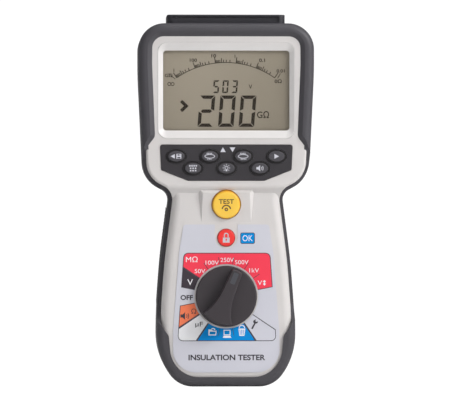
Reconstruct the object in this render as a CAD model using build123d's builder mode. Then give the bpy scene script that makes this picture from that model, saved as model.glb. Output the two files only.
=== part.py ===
from build123d import *
import os
from math import cos, hypot, radians, sin

# Handheld insulation resistance tester in a rubber boot. Millimetres.
# Frame: +X to the right seen from the front, +Y to the back, +Z up along the instrument.
# The origin is on the flat base, under the middle. Depths are Y values: the front is at negative Y.

os.makedirs("parts", exist_ok=True)

# Boot
BOOT_TOP = 222.5  # height of the boot
HEAD_HALF = 53.8  # half-width round the display head
HANDLE_HALF = 42.5  # half-width round the handle
NECK_Z = 118.4  # height of the notch between handle and head
NECK_IN = 7.9  # how far the notch is cut in from the handle's side
SHOULDER_RISE = 8.5  # from the notch to the foot of the head
HEAD_TAPER = 3.1  # how far the head's foot stands in from its side
BOOT_WALL = 2.4
BOOT_BACK = 31.5
BOOT_EDGE = -6.0  # front edge of the wall beside the handle
HEAD_LIP_FRONT = -24.0
TOE_LIP_FRONT = -20.5
LIP_ROUND = 4.2  # rounding of the outer front edges
BACK_ROUND = 4.0
LIP_DRAFT = 55.0  # slope of the lips' inner edges, degrees
HEAD_RISE_Z = 147.0  # where the head lip reaches its full depth
HEAD_RISE_LENGTH = 16.0
TOE_RISE_Z = 38.0  # and the toe lip
TOE_RISE_LENGTH = 10.0
MIDDLE_Z = 90.0  # where the boot's two ends meet

# Case
CASE_WALL = 2.2
CASE_BACK = 26.5
PARTING = -2.0  # depth of the joint between the two shells
GASKET_HALF = 0.4  # half the squeezed thickness of the gasket
HANDLE_FACE = -19.0
HEAD_FACE = -22.0
STEP_Z = 118.7  # height where the handle's face meets the raised head
STEP_SLOPE = 1.2  # height that the slope between them takes per unit of depth
RAMP_TOP_Z = 121.5
RAMP_FOOT_Z = 101.0
RAMP_HALF = 15.2  # half-width of the ramp at its foot
RAMP_SHOULDER_HALF = 17.2  # half-width of its base at the step
HANDLE_ROUND = 5.0
HEAD_ROUND = 1.6
BOSS_R = 3.2
REAR_BOSS_R = 4.4
SCREW_R = 1.5
SCREW_HEAD_R = 2.8
SCREW_HEAD_H = 1.8
SCREW_REACH = -12.0  # depth of the case screws' tips
GAP = 0.1  # assembly clearance between fixed pieces
RUN = 0.05  # radial running clearance of turning pieces

# Display
LCD_Z = 181.3
LENS_W = 77.4  # clear opening
LENS_H = 48.9
LENS_T = 1.6
LENS_R = 2.0
FRAME_W = 83.9
FRAME_H = 58.9
FRAME_R = 6.0
FRAME_DISH = 1.8  # how far the frame's slope sinks
LENS_LAP = 1.0  # how far the lens runs behind the frame
GLASS_T = 1.6
BACKLIGHT_T = 4.0

# Keypad
PANEL_TOP_Z = 148.2
PANEL_SIDE_Z = 132.6
PANEL_FOOT_Z = 126.1
PANEL_TOP_HALF = 40.6
PANEL_SIDE_HALF = 39.9
PANEL_FOOT_HALF = 23.4
PANEL_R = 1.5
PANEL_PROUD = 0.5
PANEL_SEAT = 0.8  # depth of its recess
KEY_PITCH = 20.4
KEY_UPPER_Z = 141.0
KEY_LOWER_Z = 133.7
KEY_RIM = (6.1, 4.15)  # half-axes of the rim
KEY_TOP = (4.95, 3.2)  # half-axes of the pad on it
KEY_FLANGE = 0.6  # how far the retaining flange stands out
KEY_RIM_FRONT = -23.2
KEY_TOP_FRONT = -24.2
KEY_TRAVEL = 1.0
KEY_CLEAR = 0.2

# Test button, on the ramp, and lock button below it
TEST_Z = 111.5
TEST_R = 8.6
TEST_RISE = 1.8
TEST_TRAVEL = 2.0
LOCK_Z = 91.2
LOCK_R = 5.2
LOCK_RISE = 1.0
LOCK_TRAVEL = 1.5
BUTTON_CLEAR = 0.4
BUTTON_FLANGE = 1.2
FLANGE_T = 1.0
STEM_R = 2.6
TEST_DEPTH = 2.4  # of the test button's body behind the ramp
TEST_STEM = 2.0
SWITCH_GAP = 0.6  # left between a pressed stem and its switch

# Selector
KNOB_Z = 55.3
KNOB_R = 18.6
KNOB_FRONT = -31.5
SKIRT_T = 4.0
SKIRT_GAP = 0.15
KNOB_REST = 22.5  # clockwise from straight up, degrees
SHAFT_R = 3.0
HUB_R = 6.5
HUB_BACK = -14.6
SEAL_T = 1.3
SEAL_W = 1.6
ROTOR_R = 15.0
ROTOR_T = 1.8
COLLAR_W = 0.6
COLLAR_RISE = 0.7
POINTER_W = 3.1
POINTER_L = 7.2
POINTER_OUT = 12.0  # from the axis to its middle
POINTER_T = 0.6

# Label
LABEL_T = 0.3
LABEL_TOP_Z = 99.3
LABEL_FOOT_Z = 8.7
LABEL_TOP_HALF = 26.1
LABEL_SIDE_HALF = 32.5
NOTCH_R = 7.0

# Board
BOARD_FRONT = -10.0
BOARD_T = 1.6
BOARD_MARGIN = 1.0
FUSE_R = 3.15
FUSE_LENGTH = 32.0
FUSE_RISE = 5.0  # from the board to the fuse's axis
CLIP_W = 5.0
SIDE_CHIP_X = 34.0  # the chip beside the shoulder
SIDE_CHIP_W = 6.0
SIDE_CHIP_H = 10.0
SIDE_CHIP_GAP = 0.131  # above the case wall

# Terminal block
BLOCK_HALF = 36.2
BLOCK_RISE = 5.5  # how far it stands above the boot
BLOCK_FRONT = -15.0
BLOCK_BACK = 23.0
BLOCK_BODY_FRONT = -6.0
BLOCK_BODY_DEPTH = 17.0
BLOCK_FLANGE_H = 11.0
SOCKET_PITCH = 22.0
SOCKET_Y = 6.0
BORE_R = 2.0  # 4 mm test sockets
BORE_DEPTH = 18.0
SLEEVE_R = 2.9
SLEEVE_LENGTH = 20.0
SLEEVE_SINK = 2.0
WELL_R = 4.2
RING_W = 1.3
RING_T = 0.8
TAIL_R = 1.0
POCKET_H = 3.3  # pocket along the block's front
POCKET_DEPTH = 1.2

# Batteries
CELL_R = 7.15
CELL_LENGTH = 50.5
CELL_COUNT = 6
CELL_GAP = 0.5  # between one cell and the next
CELL_FIRST_Z = 24.0
NUB_R = 2.7
NUB_LENGTH = 1.4
WELL_WALL = 1.6
CONTACT_ROOM = 1.95
PLATE_T = 0.4  # battery contact plates
COVER_T = 2.2
COVER_MARGIN = 1.3  # cover beyond the battery well at the sides
COVER_END = 7.6  # and at its ends
COVER_SCREW_X = 20.0
COVER_SCREW_INSET = 3.7
SEAL_H = 0.4

# Stand
STAND_HALF = 28.2
STAND_FOOT_Z = 52.0
HINGE_Z = 148.0
HINGE_Y = 29.0
BARREL_R = 2.2
PIN_R = 1.5
PIN_GRIP = 3.0
STAND_T = 3.4
STAND_GAP = 0.6  # between the stand and the boot's opening
HATCH_R = 2.0  # corners of that opening


def front_plane(depth):
    """Sketch plane that faces the front: its x is X, its y is Z."""
    return Plane.XZ.offset(-depth)


def mirrored(corners):
    """Corners (x, z, radius) of a shape that is the same left and right, from its right half."""
    return corners + [(-x, z, r) for x, z, r in reversed(corners)]


def inset_corners(corners, inset):
    """Corners moved inside by inset, for corners that run anticlockwise, with their radii to suit."""
    moved = []
    for n, (x, z, r) in enumerate(corners):
        here = Vector(x, z)
        before = (here - Vector(*corners[n - 1][:2])).normalized()
        after = (Vector(*corners[(n + 1) % len(corners)][:2]) - here).normalized()
        inwards = Vector(-before.Y, before.X) + Vector(-after.Y, after.X)
        place = here + inwards * (inset / (1 + before.dot(after)))
        outer_corner = before.X * after.Y > before.Y * after.X
        moved.append((place.X, place.Y, r - inset if outer_corner else r + inset))
    return moved


def rounded_face(corners, inset=0):
    """Flat face with the given corners (x, z, radius), drawn inside by inset."""
    corners = inset_corners(corners, inset)
    with BuildSketch() as face:
        with BuildLine():
            FilletPolyline(
                *[(x, z) for x, z, r in corners],
                radius=[r for x, z, r in corners],
                close=True,
            )
        make_face()
    return face.sketch


def cut_face(face, low_z, high_z):
    """The part of a flat face between two heights."""
    with BuildSketch() as band:
        add(face)
        with Locations((0, (low_z + high_z) / 2)):
            Rectangle(4 * HEAD_HALF, high_z - low_z, mode=Mode.INTERSECT)
    return band.sketch


def write(piece, name):
    """Label a finished piece and write its file."""
    piece.part.label = name
    export_step(piece.part, f"parts/{name}.step")


# Outline of the whole instrument, seen from the front, and the shells inside it
body_corners = mirrored(
    [
        (HANDLE_HALF - 13.3, 0, 17.5),
        (HANDLE_HALF, 18.5, 42),
        (HANDLE_HALF, 44, 300),
        (HANDLE_HALF - 2.6, 78, 350),
        (HANDLE_HALF - NECK_IN, NECK_Z, 7),
        (HEAD_HALF - HEAD_TAPER, NECK_Z + SHOULDER_RISE, 18),
        (HEAD_HALF, BOOT_TOP - 30.5, 300),
        (HEAD_HALF, BOOT_TOP, 16),
    ]
)
boot_outline = rounded_face(body_corners)
case_outline = rounded_face(body_corners, BOOT_WALL)
cavity_outline = rounded_face(body_corners, BOOT_WALL + CASE_WALL)
board_outline = rounded_face(body_corners, BOOT_WALL + CASE_WALL + BOARD_MARGIN)

head_screw_x = HEAD_HALF - 8.4
head_screws = [(side * head_screw_x, z) for side in (-1, 1) for z in (BOOT_TOP - 22.5, 154.0)]
foot_screws = [(side * (HANDLE_HALF - 9.5), 23.0) for side in (-1, 1)]
screw_spots = head_screws + foot_screws
board_spots = [(side * x, z) for side in (-1, 1) for x, z in ((25.0, TEST_Z + 2.5), (28.0, 28.0))]
key_spots = {
    "key_memory": (-1.5 * KEY_PITCH, KEY_UPPER_Z),
    "key_left_oval": (-0.5 * KEY_PITCH, KEY_UPPER_Z),
    "key_right_oval": (0.5 * KEY_PITCH, KEY_UPPER_Z),
    "key_next": (1.5 * KEY_PITCH, KEY_UPPER_Z),
    "key_timer": (-KEY_PITCH, KEY_LOWER_Z),
    "key_backlight": (0, KEY_LOWER_Z),
    "key_buzzer": (KEY_PITCH, KEY_LOWER_Z),
}

# The ramp that carries the test button leans by a few degrees
ramp_run = RAMP_TOP_Z - RAMP_FOOT_Z
ramp_drop = HANDLE_FACE - HEAD_FACE
ramp_length = hypot(ramp_run, ramp_drop)
test_y = HEAD_FACE + ramp_drop * (RAMP_TOP_Z - TEST_Z) / ramp_run
ramp_plane = Plane(
    origin=(0, test_y, TEST_Z),
    x_dir=(1, 0, 0),
    z_dir=(0, -ramp_run / ramp_length, -ramp_drop / ramp_length),
)

handle_inside = HANDLE_FACE + CASE_WALL
head_inside = HEAD_FACE + CASE_WALL
block_top = BOOT_TOP + BLOCK_RISE
board_back = BOARD_FRONT + BOARD_T
fuse_y = board_back + FUSE_RISE

# Side profile (y, z, radius) of the raised head: its lower end slopes down to the handle
slope_run = STEP_SLOPE * (HANDLE_ROUND + 1)
head_profile = [
    (HANDLE_FACE + HANDLE_ROUND + 1, STEP_Z - slope_run, 0),
    (HEAD_FACE, STEP_Z + STEP_SLOPE * (HANDLE_FACE - HEAD_FACE), 4),
    (HEAD_FACE, BOOT_TOP, 0),
    (PARTING, BOOT_TOP, 0),
    (PARTING, STEP_Z - slope_run, 0),
]

# Outer form of the front shell: handle, raised head and the ramp between them
with BuildPart() as ramp_form:
    with BuildSketch(front_plane(HANDLE_FACE)):
        with BuildLine():
            Polyline(
                (-RAMP_HALF, RAMP_FOOT_Z),
                (RAMP_HALF, RAMP_FOOT_Z),
                (RAMP_SHOULDER_HALF, RAMP_TOP_Z),
                (-RAMP_SHOULDER_HALF, RAMP_TOP_Z),
                close=True,
            )
        make_face()
    extrude(amount=ramp_drop + 1, taper=45)
    split(bisect_by=ramp_plane, keep=Keep.BOTTOM)

with BuildPart() as head_form:
    with BuildSketch(front_plane(PARTING)):
        add(case_outline)
    extrude(amount=PARTING - HEAD_FACE)
    fillet(head_form.faces().sort_by(Axis.Y)[0].edges(), HEAD_ROUND)
    with BuildSketch(Plane.YZ):
        add(rounded_face(head_profile))
    extrude(amount=2 * HEAD_HALF, both=True, mode=Mode.INTERSECT)

with BuildPart() as front_form:
    with BuildSketch(front_plane(PARTING)):
        add(case_outline)
    extrude(amount=PARTING - HANDLE_FACE)
    fillet(front_form.faces().sort_by(Axis.Y)[0].edges(), HANDLE_ROUND)
    add(head_form.part)
    add(ramp_form.part)

with BuildPart() as rear_form:
    with BuildSketch(front_plane(CASE_BACK)):
        add(case_outline)
    extrude(amount=CASE_BACK - PARTING)
    fillet(rear_form.faces().sort_by(Axis.Y)[-1].edges(), BACK_ROUND - BOOT_WALL / 2)

# Plan of the terminal block's flange, and the hole that it fills in the shells and the boot
flange_middle = (BLOCK_FRONT + BLOCK_BACK) / 2
flange_depth = BLOCK_BACK - BLOCK_FRONT
with BuildPart() as block_space:
    with BuildSketch(Plane.XY.offset(block_top - BLOCK_FLANGE_H - GAP)):
        with Locations((0, flange_middle)):
            RectangleRounded(2 * (BLOCK_HALF + GAP), flange_depth + 2 * GAP, 4)
    extrude(amount=BLOCK_FLANGE_H + 5)

# Front shell: openings for the display, the keys, the two buttons and the selector's hub
with BuildPart() as front_case:
    add(front_form.part)
    with BuildSketch(front_plane(PARTING - GASKET_HALF)):
        add(boot_outline)
    extrude(amount=-GASKET_HALF * 2, mode=Mode.SUBTRACT)
    with BuildSketch(front_plane(PARTING)):
        add(cavity_outline)
    extrude(amount=PARTING - handle_inside, mode=Mode.SUBTRACT)
    with BuildSketch(front_plane(PARTING)):
        add(cut_face(cavity_outline, STEP_Z + CASE_WALL, BOOT_TOP))
    extrude(amount=PARTING - head_inside, mode=Mode.SUBTRACT)
    with BuildSketch(front_plane(PARTING - GASKET_HALF)):
        with Locations(*foot_screws):
            Circle(BOSS_R)
    extrude(amount=PARTING - GASKET_HALF - handle_inside)
    with BuildSketch(front_plane(PARTING - GASKET_HALF)):
        with Locations(*head_screws):
            Circle(BOSS_R)
    extrude(amount=PARTING - GASKET_HALF - head_inside)
    with BuildSketch(front_plane(BOARD_FRONT)):
        with Locations(*board_spots):
            Circle(BOSS_R - 0.7)
    extrude(amount=BOARD_FRONT - handle_inside)
    with BuildSketch(front_plane(HUB_BACK)):
        with Locations((0, KNOB_Z)):
            Circle(HUB_R)
    extrude(amount=HUB_BACK - HANDLE_FACE)
    with BuildSketch(front_plane(HANDLE_FACE)):
        with Locations((0, KNOB_Z)):
            Circle(KNOB_R + 0.3 + COLLAR_W)
            Circle(KNOB_R + 0.3, mode=Mode.SUBTRACT)
    extrude(amount=COLLAR_RISE)
    with BuildSketch(front_plane(PARTING)):
        with Locations(*screw_spots):
            Circle(SCREW_R + RUN)
    extrude(amount=PARTING - SCREW_REACH + 1, mode=Mode.SUBTRACT)
    with BuildSketch(front_plane(BOARD_FRONT)):
        with Locations(*board_spots):
            Circle(SCREW_R - 0.4)
    extrude(amount=5, mode=Mode.SUBTRACT)
    with BuildSketch(front_plane(HUB_BACK)):
        with Locations((0, KNOB_Z)):
            Circle(SHAFT_R + RUN)
    extrude(amount=HUB_BACK - HANDLE_FACE, mode=Mode.SUBTRACT)
    with BuildSketch(front_plane(HANDLE_FACE)):
        with Locations((0, KNOB_Z)):
            Circle(SHAFT_R + RUN + SEAL_W)
    extrude(amount=-SEAL_T, mode=Mode.SUBTRACT)
    with BuildSketch(front_plane(head_inside)):
        with Locations((0, LCD_Z)):
            RectangleRounded(FRAME_W + 2 * GAP, FRAME_H + 2 * GAP, FRAME_R)
    extrude(amount=CASE_WALL, mode=Mode.SUBTRACT)
    with BuildSketch(front_plane(HEAD_FACE)):
        with BuildLine():
            FilletPolyline(
                (PANEL_TOP_HALF + GAP, PANEL_TOP_Z + GAP),
                (PANEL_SIDE_HALF + GAP, PANEL_SIDE_Z - GAP),
                (PANEL_FOOT_HALF + GAP, PANEL_FOOT_Z - GAP),
                (-PANEL_FOOT_HALF - GAP, PANEL_FOOT_Z - GAP),
                (-PANEL_SIDE_HALF - GAP, PANEL_SIDE_Z - GAP),
                (-PANEL_TOP_HALF - GAP, PANEL_TOP_Z + GAP),
                radius=PANEL_R,
                close=True,
            )
        make_face()
    extrude(amount=-PANEL_SEAT, mode=Mode.SUBTRACT)
    with BuildSketch(front_plane(HEAD_FACE)):
        with Locations(*key_spots.values()):
            Ellipse(KEY_RIM[0] + KEY_CLEAR, KEY_RIM[1] + KEY_CLEAR)
    extrude(amount=-CASE_WALL, mode=Mode.SUBTRACT)
    with BuildSketch(ramp_plane):
        Circle(TEST_R + BUTTON_CLEAR + 0.1)
    extrude(amount=-8, both=True, mode=Mode.SUBTRACT)
    with BuildSketch(ramp_plane.offset(-TEST_DEPTH)):
        Circle(TEST_R + BUTTON_FLANGE + BUTTON_CLEAR)
    extrude(amount=-6, mode=Mode.SUBTRACT)
    with BuildSketch(front_plane(handle_inside)):
        with Locations((0, LOCK_Z)):
            Circle(LOCK_R + BUTTON_CLEAR)
    extrude(amount=CASE_WALL, mode=Mode.SUBTRACT)
    add(block_space.part, mode=Mode.SUBTRACT)
write(front_case, "front_case")

# Battery well in the rear shell, open to the back
cell_pitch = 2 * CELL_R + CELL_GAP
cells_middle_z = CELL_FIRST_Z + cell_pitch * (CELL_COUNT - 1) / 2
well_w = CELL_LENGTH + 2 * CONTACT_ROOM
well_h = cell_pitch * CELL_COUNT
cover_front = CASE_BACK - COVER_T
ledge_face = cover_front - SEAL_H
cell_y = ledge_face - CELL_R - 0.4
well_floor = cell_y - CELL_R - 0.3
cover_w = well_w + 2 * COVER_MARGIN
cover_h = well_h + 2 * COVER_END
cover_spots = [
    (x, cells_middle_z + end * (cover_h / 2 - COVER_SCREW_INSET))
    for x in (-COVER_SCREW_X, COVER_SCREW_X)
    for end in (-1, 1)
]

# Rear shell
with BuildPart() as rear_case:
    add(rear_form.part)
    with BuildSketch(front_plane(PARTING + GASKET_HALF)):
        add(boot_outline)
    extrude(amount=GASKET_HALF * 2, mode=Mode.SUBTRACT)
    with BuildSketch(front_plane(CASE_BACK - CASE_WALL)):
        add(cavity_outline)
    extrude(amount=CASE_BACK - CASE_WALL - PARTING, mode=Mode.SUBTRACT)
    with BuildSketch(front_plane(CASE_BACK - CASE_WALL)):
        with Locations(*screw_spots):
            Circle(REAR_BOSS_R)
    extrude(amount=CASE_BACK - CASE_WALL - PARTING - GASKET_HALF)
    add(rear_form.part, mode=Mode.INTERSECT)
    with BuildSketch(front_plane(CASE_BACK - CASE_WALL)):
        with Locations((0, cells_middle_z)):
            Rectangle(well_w + 2 * WELL_WALL, well_h + 2 * WELL_WALL)
    extrude(amount=CASE_BACK - CASE_WALL - well_floor + WELL_WALL)
    with BuildSketch(front_plane(CASE_BACK - CASE_WALL)):
        with Locations((0, cells_middle_z)):
            RectangleRounded(cover_w + 3, cover_h + 3, 4)
    extrude(amount=2.6)
    with BuildSketch(front_plane(ledge_face)):
        with Locations(*cover_spots):
            Circle(BOSS_R)
    extrude(amount=9)
    with BuildSketch(front_plane(ledge_face)):
        with Locations((0, cells_middle_z)):
            RectangleRounded(cover_w + 2 * GAP, cover_h + 2 * GAP, 3)
    extrude(amount=-5, mode=Mode.SUBTRACT)
    with BuildSketch(front_plane(CASE_BACK)):
        with Locations((0, cells_middle_z)):
            Rectangle(well_w, well_h)
    extrude(amount=CASE_BACK - well_floor, mode=Mode.SUBTRACT)
    with BuildSketch(front_plane(ledge_face)):
        with Locations(*cover_spots):
            Circle(SCREW_R + RUN)
    extrude(amount=7.5, mode=Mode.SUBTRACT)
    with BuildSketch(front_plane(CASE_BACK)):
        with Locations(*screw_spots):
            Circle(SCREW_R + RUN)
    extrude(amount=CASE_BACK - PARTING + 1, mode=Mode.SUBTRACT)
    with BuildSketch(front_plane(CASE_BACK)):
        with Locations(*screw_spots):
            Circle(SCREW_HEAD_R + GAP)
    extrude(amount=SCREW_HEAD_H + 4, mode=Mode.SUBTRACT)
    add(block_space.part, mode=Mode.SUBTRACT)
write(rear_case, "rear_case")

# Gasket squeezed between the two shells
with BuildPart() as case_gasket:
    with BuildSketch(front_plane(PARTING + GASKET_HALF)):
        add(rounded_face(body_corners, BOOT_WALL + 0.4))
        add(rounded_face(body_corners, BOOT_WALL + CASE_WALL - 0.4), mode=Mode.SUBTRACT)
    extrude(amount=GASKET_HALF * 2)
    add(block_space.part, mode=Mode.SUBTRACT)
write(case_gasket, "case_gasket")


def screws(spots, head_back, tip, head_r, head_h, shank_r):
    """Pan-head screws driven from the back, one solid each, with a cross recess."""
    with BuildPart() as group:
        for x, z in spots:
            with BuildSketch(front_plane(head_back)):
                with Locations((x, z)):
                    Circle(head_r)
            extrude(amount=head_h)
            with BuildSketch(front_plane(head_back - head_h)):
                with Locations((x, z)):
                    Circle(shank_r)
            extrude(amount=head_back - head_h - tip)
        with BuildSketch(front_plane(head_back)):
            with Locations(*spots):
                Rectangle(head_r * 1.2, head_r * 0.3)
                Rectangle(head_r * 0.3, head_r * 1.2)
        extrude(amount=head_h * 0.5, mode=Mode.SUBTRACT)
    return group


write(
    screws(screw_spots, CASE_BACK - 4, SCREW_REACH, SCREW_HEAD_R, SCREW_HEAD_H, SCREW_R),
    "case_screws",
)

# Rubber boot: side walls, a back, a lip round the head and a lip round the toe
full_depth = BOOT_BACK - HEAD_LIP_FRONT
side_reach = HEAD_HALF + 5


def boot_block(front, profile):
    """Slab of the boot's outline with rounded edges, trimmed to a side profile of (y, z, radius)."""
    with BuildPart() as block:
        with BuildSketch(front_plane(BOOT_BACK)):
            add(boot_outline)
        extrude(amount=BOOT_BACK - front)
        fillet(block.faces().sort_by(Axis.Y)[0].edges(), LIP_ROUND)
        fillet(block.faces().sort_by(Axis.Y)[-1].edges(), BACK_ROUND)
        with BuildSketch(Plane.YZ):
            add(rounded_face(profile))
        extrude(amount=side_reach, both=True, mode=Mode.INTERSECT)
    return block.part


head_block = boot_block(
    HEAD_LIP_FRONT,
    [
        (BOOT_BACK + 5, MIDDLE_Z, 0),
        (BOOT_EDGE, MIDDLE_Z, 0),
        (BOOT_EDGE, HEAD_RISE_Z - HEAD_RISE_LENGTH, 9),
        (HEAD_LIP_FRONT, HEAD_RISE_Z, 5),
        (HEAD_LIP_FRONT, BOOT_TOP + 5, 0),
        (BOOT_BACK + 5, BOOT_TOP + 5, 0),
    ],
)
toe_block = boot_block(
    TOE_LIP_FRONT,
    [
        (BOOT_BACK + 5, -5, 0),
        (TOE_LIP_FRONT, -5, 0),
        (TOE_LIP_FRONT, TOE_RISE_Z, 4),
        (BOOT_EDGE, TOE_RISE_Z + TOE_RISE_LENGTH, 9),
        (BOOT_EDGE, MIDDLE_Z, 0),
        (BOOT_BACK + 5, MIDDLE_Z, 0),
    ],
)
head_mouth = rounded_face(
    mirrored(
        [
            (HEAD_HALF - 4.8, NECK_Z + 10, 0),
            (HEAD_HALF - 4.8, HEAD_RISE_Z - 1, 4),
            (HEAD_HALF - 10.2, HEAD_RISE_Z + 6, 5),
            (HEAD_HALF - 8.4, BOOT_TOP - 25, 60),
            (HEAD_HALF - 8.6, BOOT_TOP - 8.1, 7),
        ]
    )
)
toe_mouth = rounded_face(
    mirrored(
        [
            (HANDLE_HALF - 9.5, 5.9, 18),
            (HANDLE_HALF - 7.4, TOE_RISE_Z - 7, 4),
            (HANDLE_HALF - 2.4, TOE_RISE_Z + 0.3, 4),
            (HANDLE_HALF - 2.4, MIDDLE_Z, 0),
        ]
    )
)
hatch_low_z = cells_middle_z - cover_h / 2 - STAND_GAP
hatch_high_z = HINGE_Z + BARREL_R + 1.5
hatch_half = STAND_HALF + STAND_GAP
with BuildPart() as boot:
    add(head_block)
    add(toe_block)
    add(front_form.part, mode=Mode.SUBTRACT)
    add(rear_form.part, mode=Mode.SUBTRACT)
    with BuildSketch(front_plane(HEAD_FACE)):
        add(head_mouth)
    extrude(amount=HEAD_FACE - HEAD_LIP_FRONT, taper=-LIP_DRAFT, mode=Mode.SUBTRACT)
    with BuildSketch(front_plane(HANDLE_FACE + HANDLE_ROUND)):
        add(toe_mouth)
    extrude(amount=10, mode=Mode.SUBTRACT)
    with BuildSketch(front_plane(BOOT_BACK)):
        with Locations((0, (hatch_low_z + hatch_high_z) / 2)):
            RectangleRounded(2 * hatch_half, hatch_high_z - hatch_low_z, HATCH_R)
    extrude(amount=BOOT_BACK - CASE_BACK + 1, mode=Mode.SUBTRACT)
    with Locations((0, HINGE_Y, HINGE_Z)):
        Cylinder(
            PIN_R + 0.02, 2 * (hatch_half + PIN_GRIP), rotation=(0, 90, 0), mode=Mode.SUBTRACT
        )
    add(block_space.part, mode=Mode.SUBTRACT)
write(boot, "boot")

# Dished frame of the display, and the lens that sits in a rebate behind it
frame_back = HEAD_FACE + FRAME_DISH + LENS_T + 0.4
with BuildPart() as lcd_frame:
    with BuildSketch(front_plane(frame_back)):
        with Locations((0, LCD_Z)):
            RectangleRounded(FRAME_W, FRAME_H, FRAME_R)
    extrude(amount=frame_back - HEAD_FACE)
    with BuildSketch(front_plane(HEAD_FACE)):
        with Locations((0, LCD_Z)):
            RectangleRounded(FRAME_W - 0.8, FRAME_H - 0.8, FRAME_R - 0.4)
    with BuildSketch(front_plane(HEAD_FACE + FRAME_DISH)):
        with Locations((0, LCD_Z)):
            RectangleRounded(LENS_W, LENS_H, LENS_R)
    loft(mode=Mode.SUBTRACT)
    with BuildSketch(front_plane(frame_back)):
        with Locations((0, LCD_Z)):
            RectangleRounded(LENS_W, LENS_H, LENS_R)
    extrude(amount=frame_back - HEAD_FACE, mode=Mode.SUBTRACT)
    with BuildSketch(front_plane(frame_back)):
        with Locations((0, LCD_Z)):
            RectangleRounded(
                LENS_W + 2 * (LENS_LAP + GAP), LENS_H + 2 * (LENS_LAP + GAP), LENS_R + LENS_LAP
            )
    extrude(amount=LENS_T, mode=Mode.SUBTRACT)
write(lcd_frame, "lcd_frame")

with BuildPart() as lcd_window:
    with BuildSketch(front_plane(frame_back)):
        with Locations((0, LCD_Z)):
            RectangleRounded(LENS_W + 2 * LENS_LAP, LENS_H + 2 * LENS_LAP, LENS_R + LENS_LAP)
    extrude(amount=LENS_T)
write(lcd_window, "lcd_window")

# Display glass behind the lens, its light guide, and the two contact strips that reach the board
glass_back = frame_back + 0.2 + GLASS_T
with BuildPart() as lcd_module:
    with BuildSketch(front_plane(glass_back)):
        with Locations((0, LCD_Z)):
            Rectangle(LENS_W + 1, LENS_H + 3)
    extrude(amount=GLASS_T)
write(lcd_module, "lcd_module")

with BuildPart() as backlight_plate:
    with BuildSketch(front_plane(glass_back + BACKLIGHT_T)):
        with Locations((0, LCD_Z)):
            Rectangle(LENS_W - 2, LENS_H - 6)
    extrude(amount=BACKLIGHT_T)
write(backlight_plate, "backlight_plate")

with BuildPart() as zebra_strips:
    with BuildSketch(front_plane(BOARD_FRONT)):
        with Locations((0, LCD_Z - LENS_H / 2), (0, LCD_Z + LENS_H / 2)):
            Rectangle(LENS_W - 8, 2)
    extrude(amount=BOARD_FRONT - glass_back)
write(zebra_strips, "zebra_strips")

# Dark plate under the keys
with BuildPart() as keypad_panel:
    with BuildSketch(front_plane(HEAD_FACE + PANEL_SEAT)):
        with BuildLine():
            FilletPolyline(
                (PANEL_TOP_HALF, PANEL_TOP_Z),
                (PANEL_SIDE_HALF, PANEL_SIDE_Z),
                (PANEL_FOOT_HALF, PANEL_FOOT_Z),
                (-PANEL_FOOT_HALF, PANEL_FOOT_Z),
                (-PANEL_SIDE_HALF, PANEL_SIDE_Z),
                (-PANEL_TOP_HALF, PANEL_TOP_Z),
                radius=PANEL_R,
                close=True,
            )
        make_face()
        with Locations(*key_spots.values()):
            Ellipse(KEY_RIM[0] + KEY_CLEAR, KEY_RIM[1] + KEY_CLEAR, mode=Mode.SUBTRACT)
    extrude(amount=PANEL_SEAT + PANEL_PROUD)
    fillet(
        keypad_panel.faces().sort_by(Axis.Y)[0].outer_wire().edges(),
        PANEL_PROUD * 0.7,
    )
write(keypad_panel, "keypad_panel")

# Seven oval keys: a rim with a raised pad, held by a flange behind the shell's wall
key_back = head_inside + 1.8
for key_name, key_spot in key_spots.items():
    with BuildPart() as key:
        with BuildSketch(front_plane(key_back)):
            with Locations(key_spot):
                Ellipse(KEY_RIM[0] + KEY_FLANGE, KEY_RIM[1] + KEY_FLANGE)
        extrude(amount=0.9)
        with BuildSketch(front_plane(key_back)):
            with Locations(key_spot):
                Ellipse(*KEY_RIM)
        extrude(amount=key_back - KEY_RIM_FRONT)
        with BuildSketch(front_plane(KEY_RIM_FRONT)):
            with Locations(key_spot):
                Ellipse(*KEY_TOP)
        extrude(amount=KEY_RIM_FRONT - KEY_TOP_FRONT)
        fillet(key.faces().sort_by(Axis.Y)[0].edges(), 0.5)
    write(key, key_name)

# Rubber mat between the keys and the board, with a dome under each key
mat_front = key_back + KEY_TRAVEL + GAP
mat_back = mat_front + 1.2
with BuildPart() as keypad_mat:
    with BuildSketch(front_plane(mat_back)):
        with Locations((0, (KEY_UPPER_Z + KEY_LOWER_Z) / 2)):
            RectangleRounded(3 * KEY_PITCH + 16, KEY_UPPER_Z - KEY_LOWER_Z + 12, 2)
    extrude(amount=mat_back - mat_front)
    with BuildSketch(front_plane(BOARD_FRONT - GAP)):
        with Locations(*key_spots.values()):
            Circle(2.4)
    extrude(amount=BOARD_FRONT - GAP - mat_back, taper=-8)
write(keypad_mat, "keypad_mat")

# Test button, square to the ramp, with a flange behind the wall and a stem to its switch
with BuildPart() as test_button:
    with BuildSketch(ramp_plane.offset(TEST_RISE)):
        Circle(TEST_R)
    extrude(amount=-TEST_RISE - TEST_DEPTH - FLANGE_T)
    fillet(test_button.faces().sort_by(Axis.Y)[0].edges(), 1.2)
    with BuildSketch(ramp_plane.offset(-TEST_DEPTH - GAP)):
        Circle(TEST_R + BUTTON_FLANGE)
    extrude(amount=-FLANGE_T)
    with BuildSketch(ramp_plane.offset(-TEST_DEPTH)):
        Circle(STEM_R)
    extrude(amount=-TEST_STEM)
write(test_button, "test_button")

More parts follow.
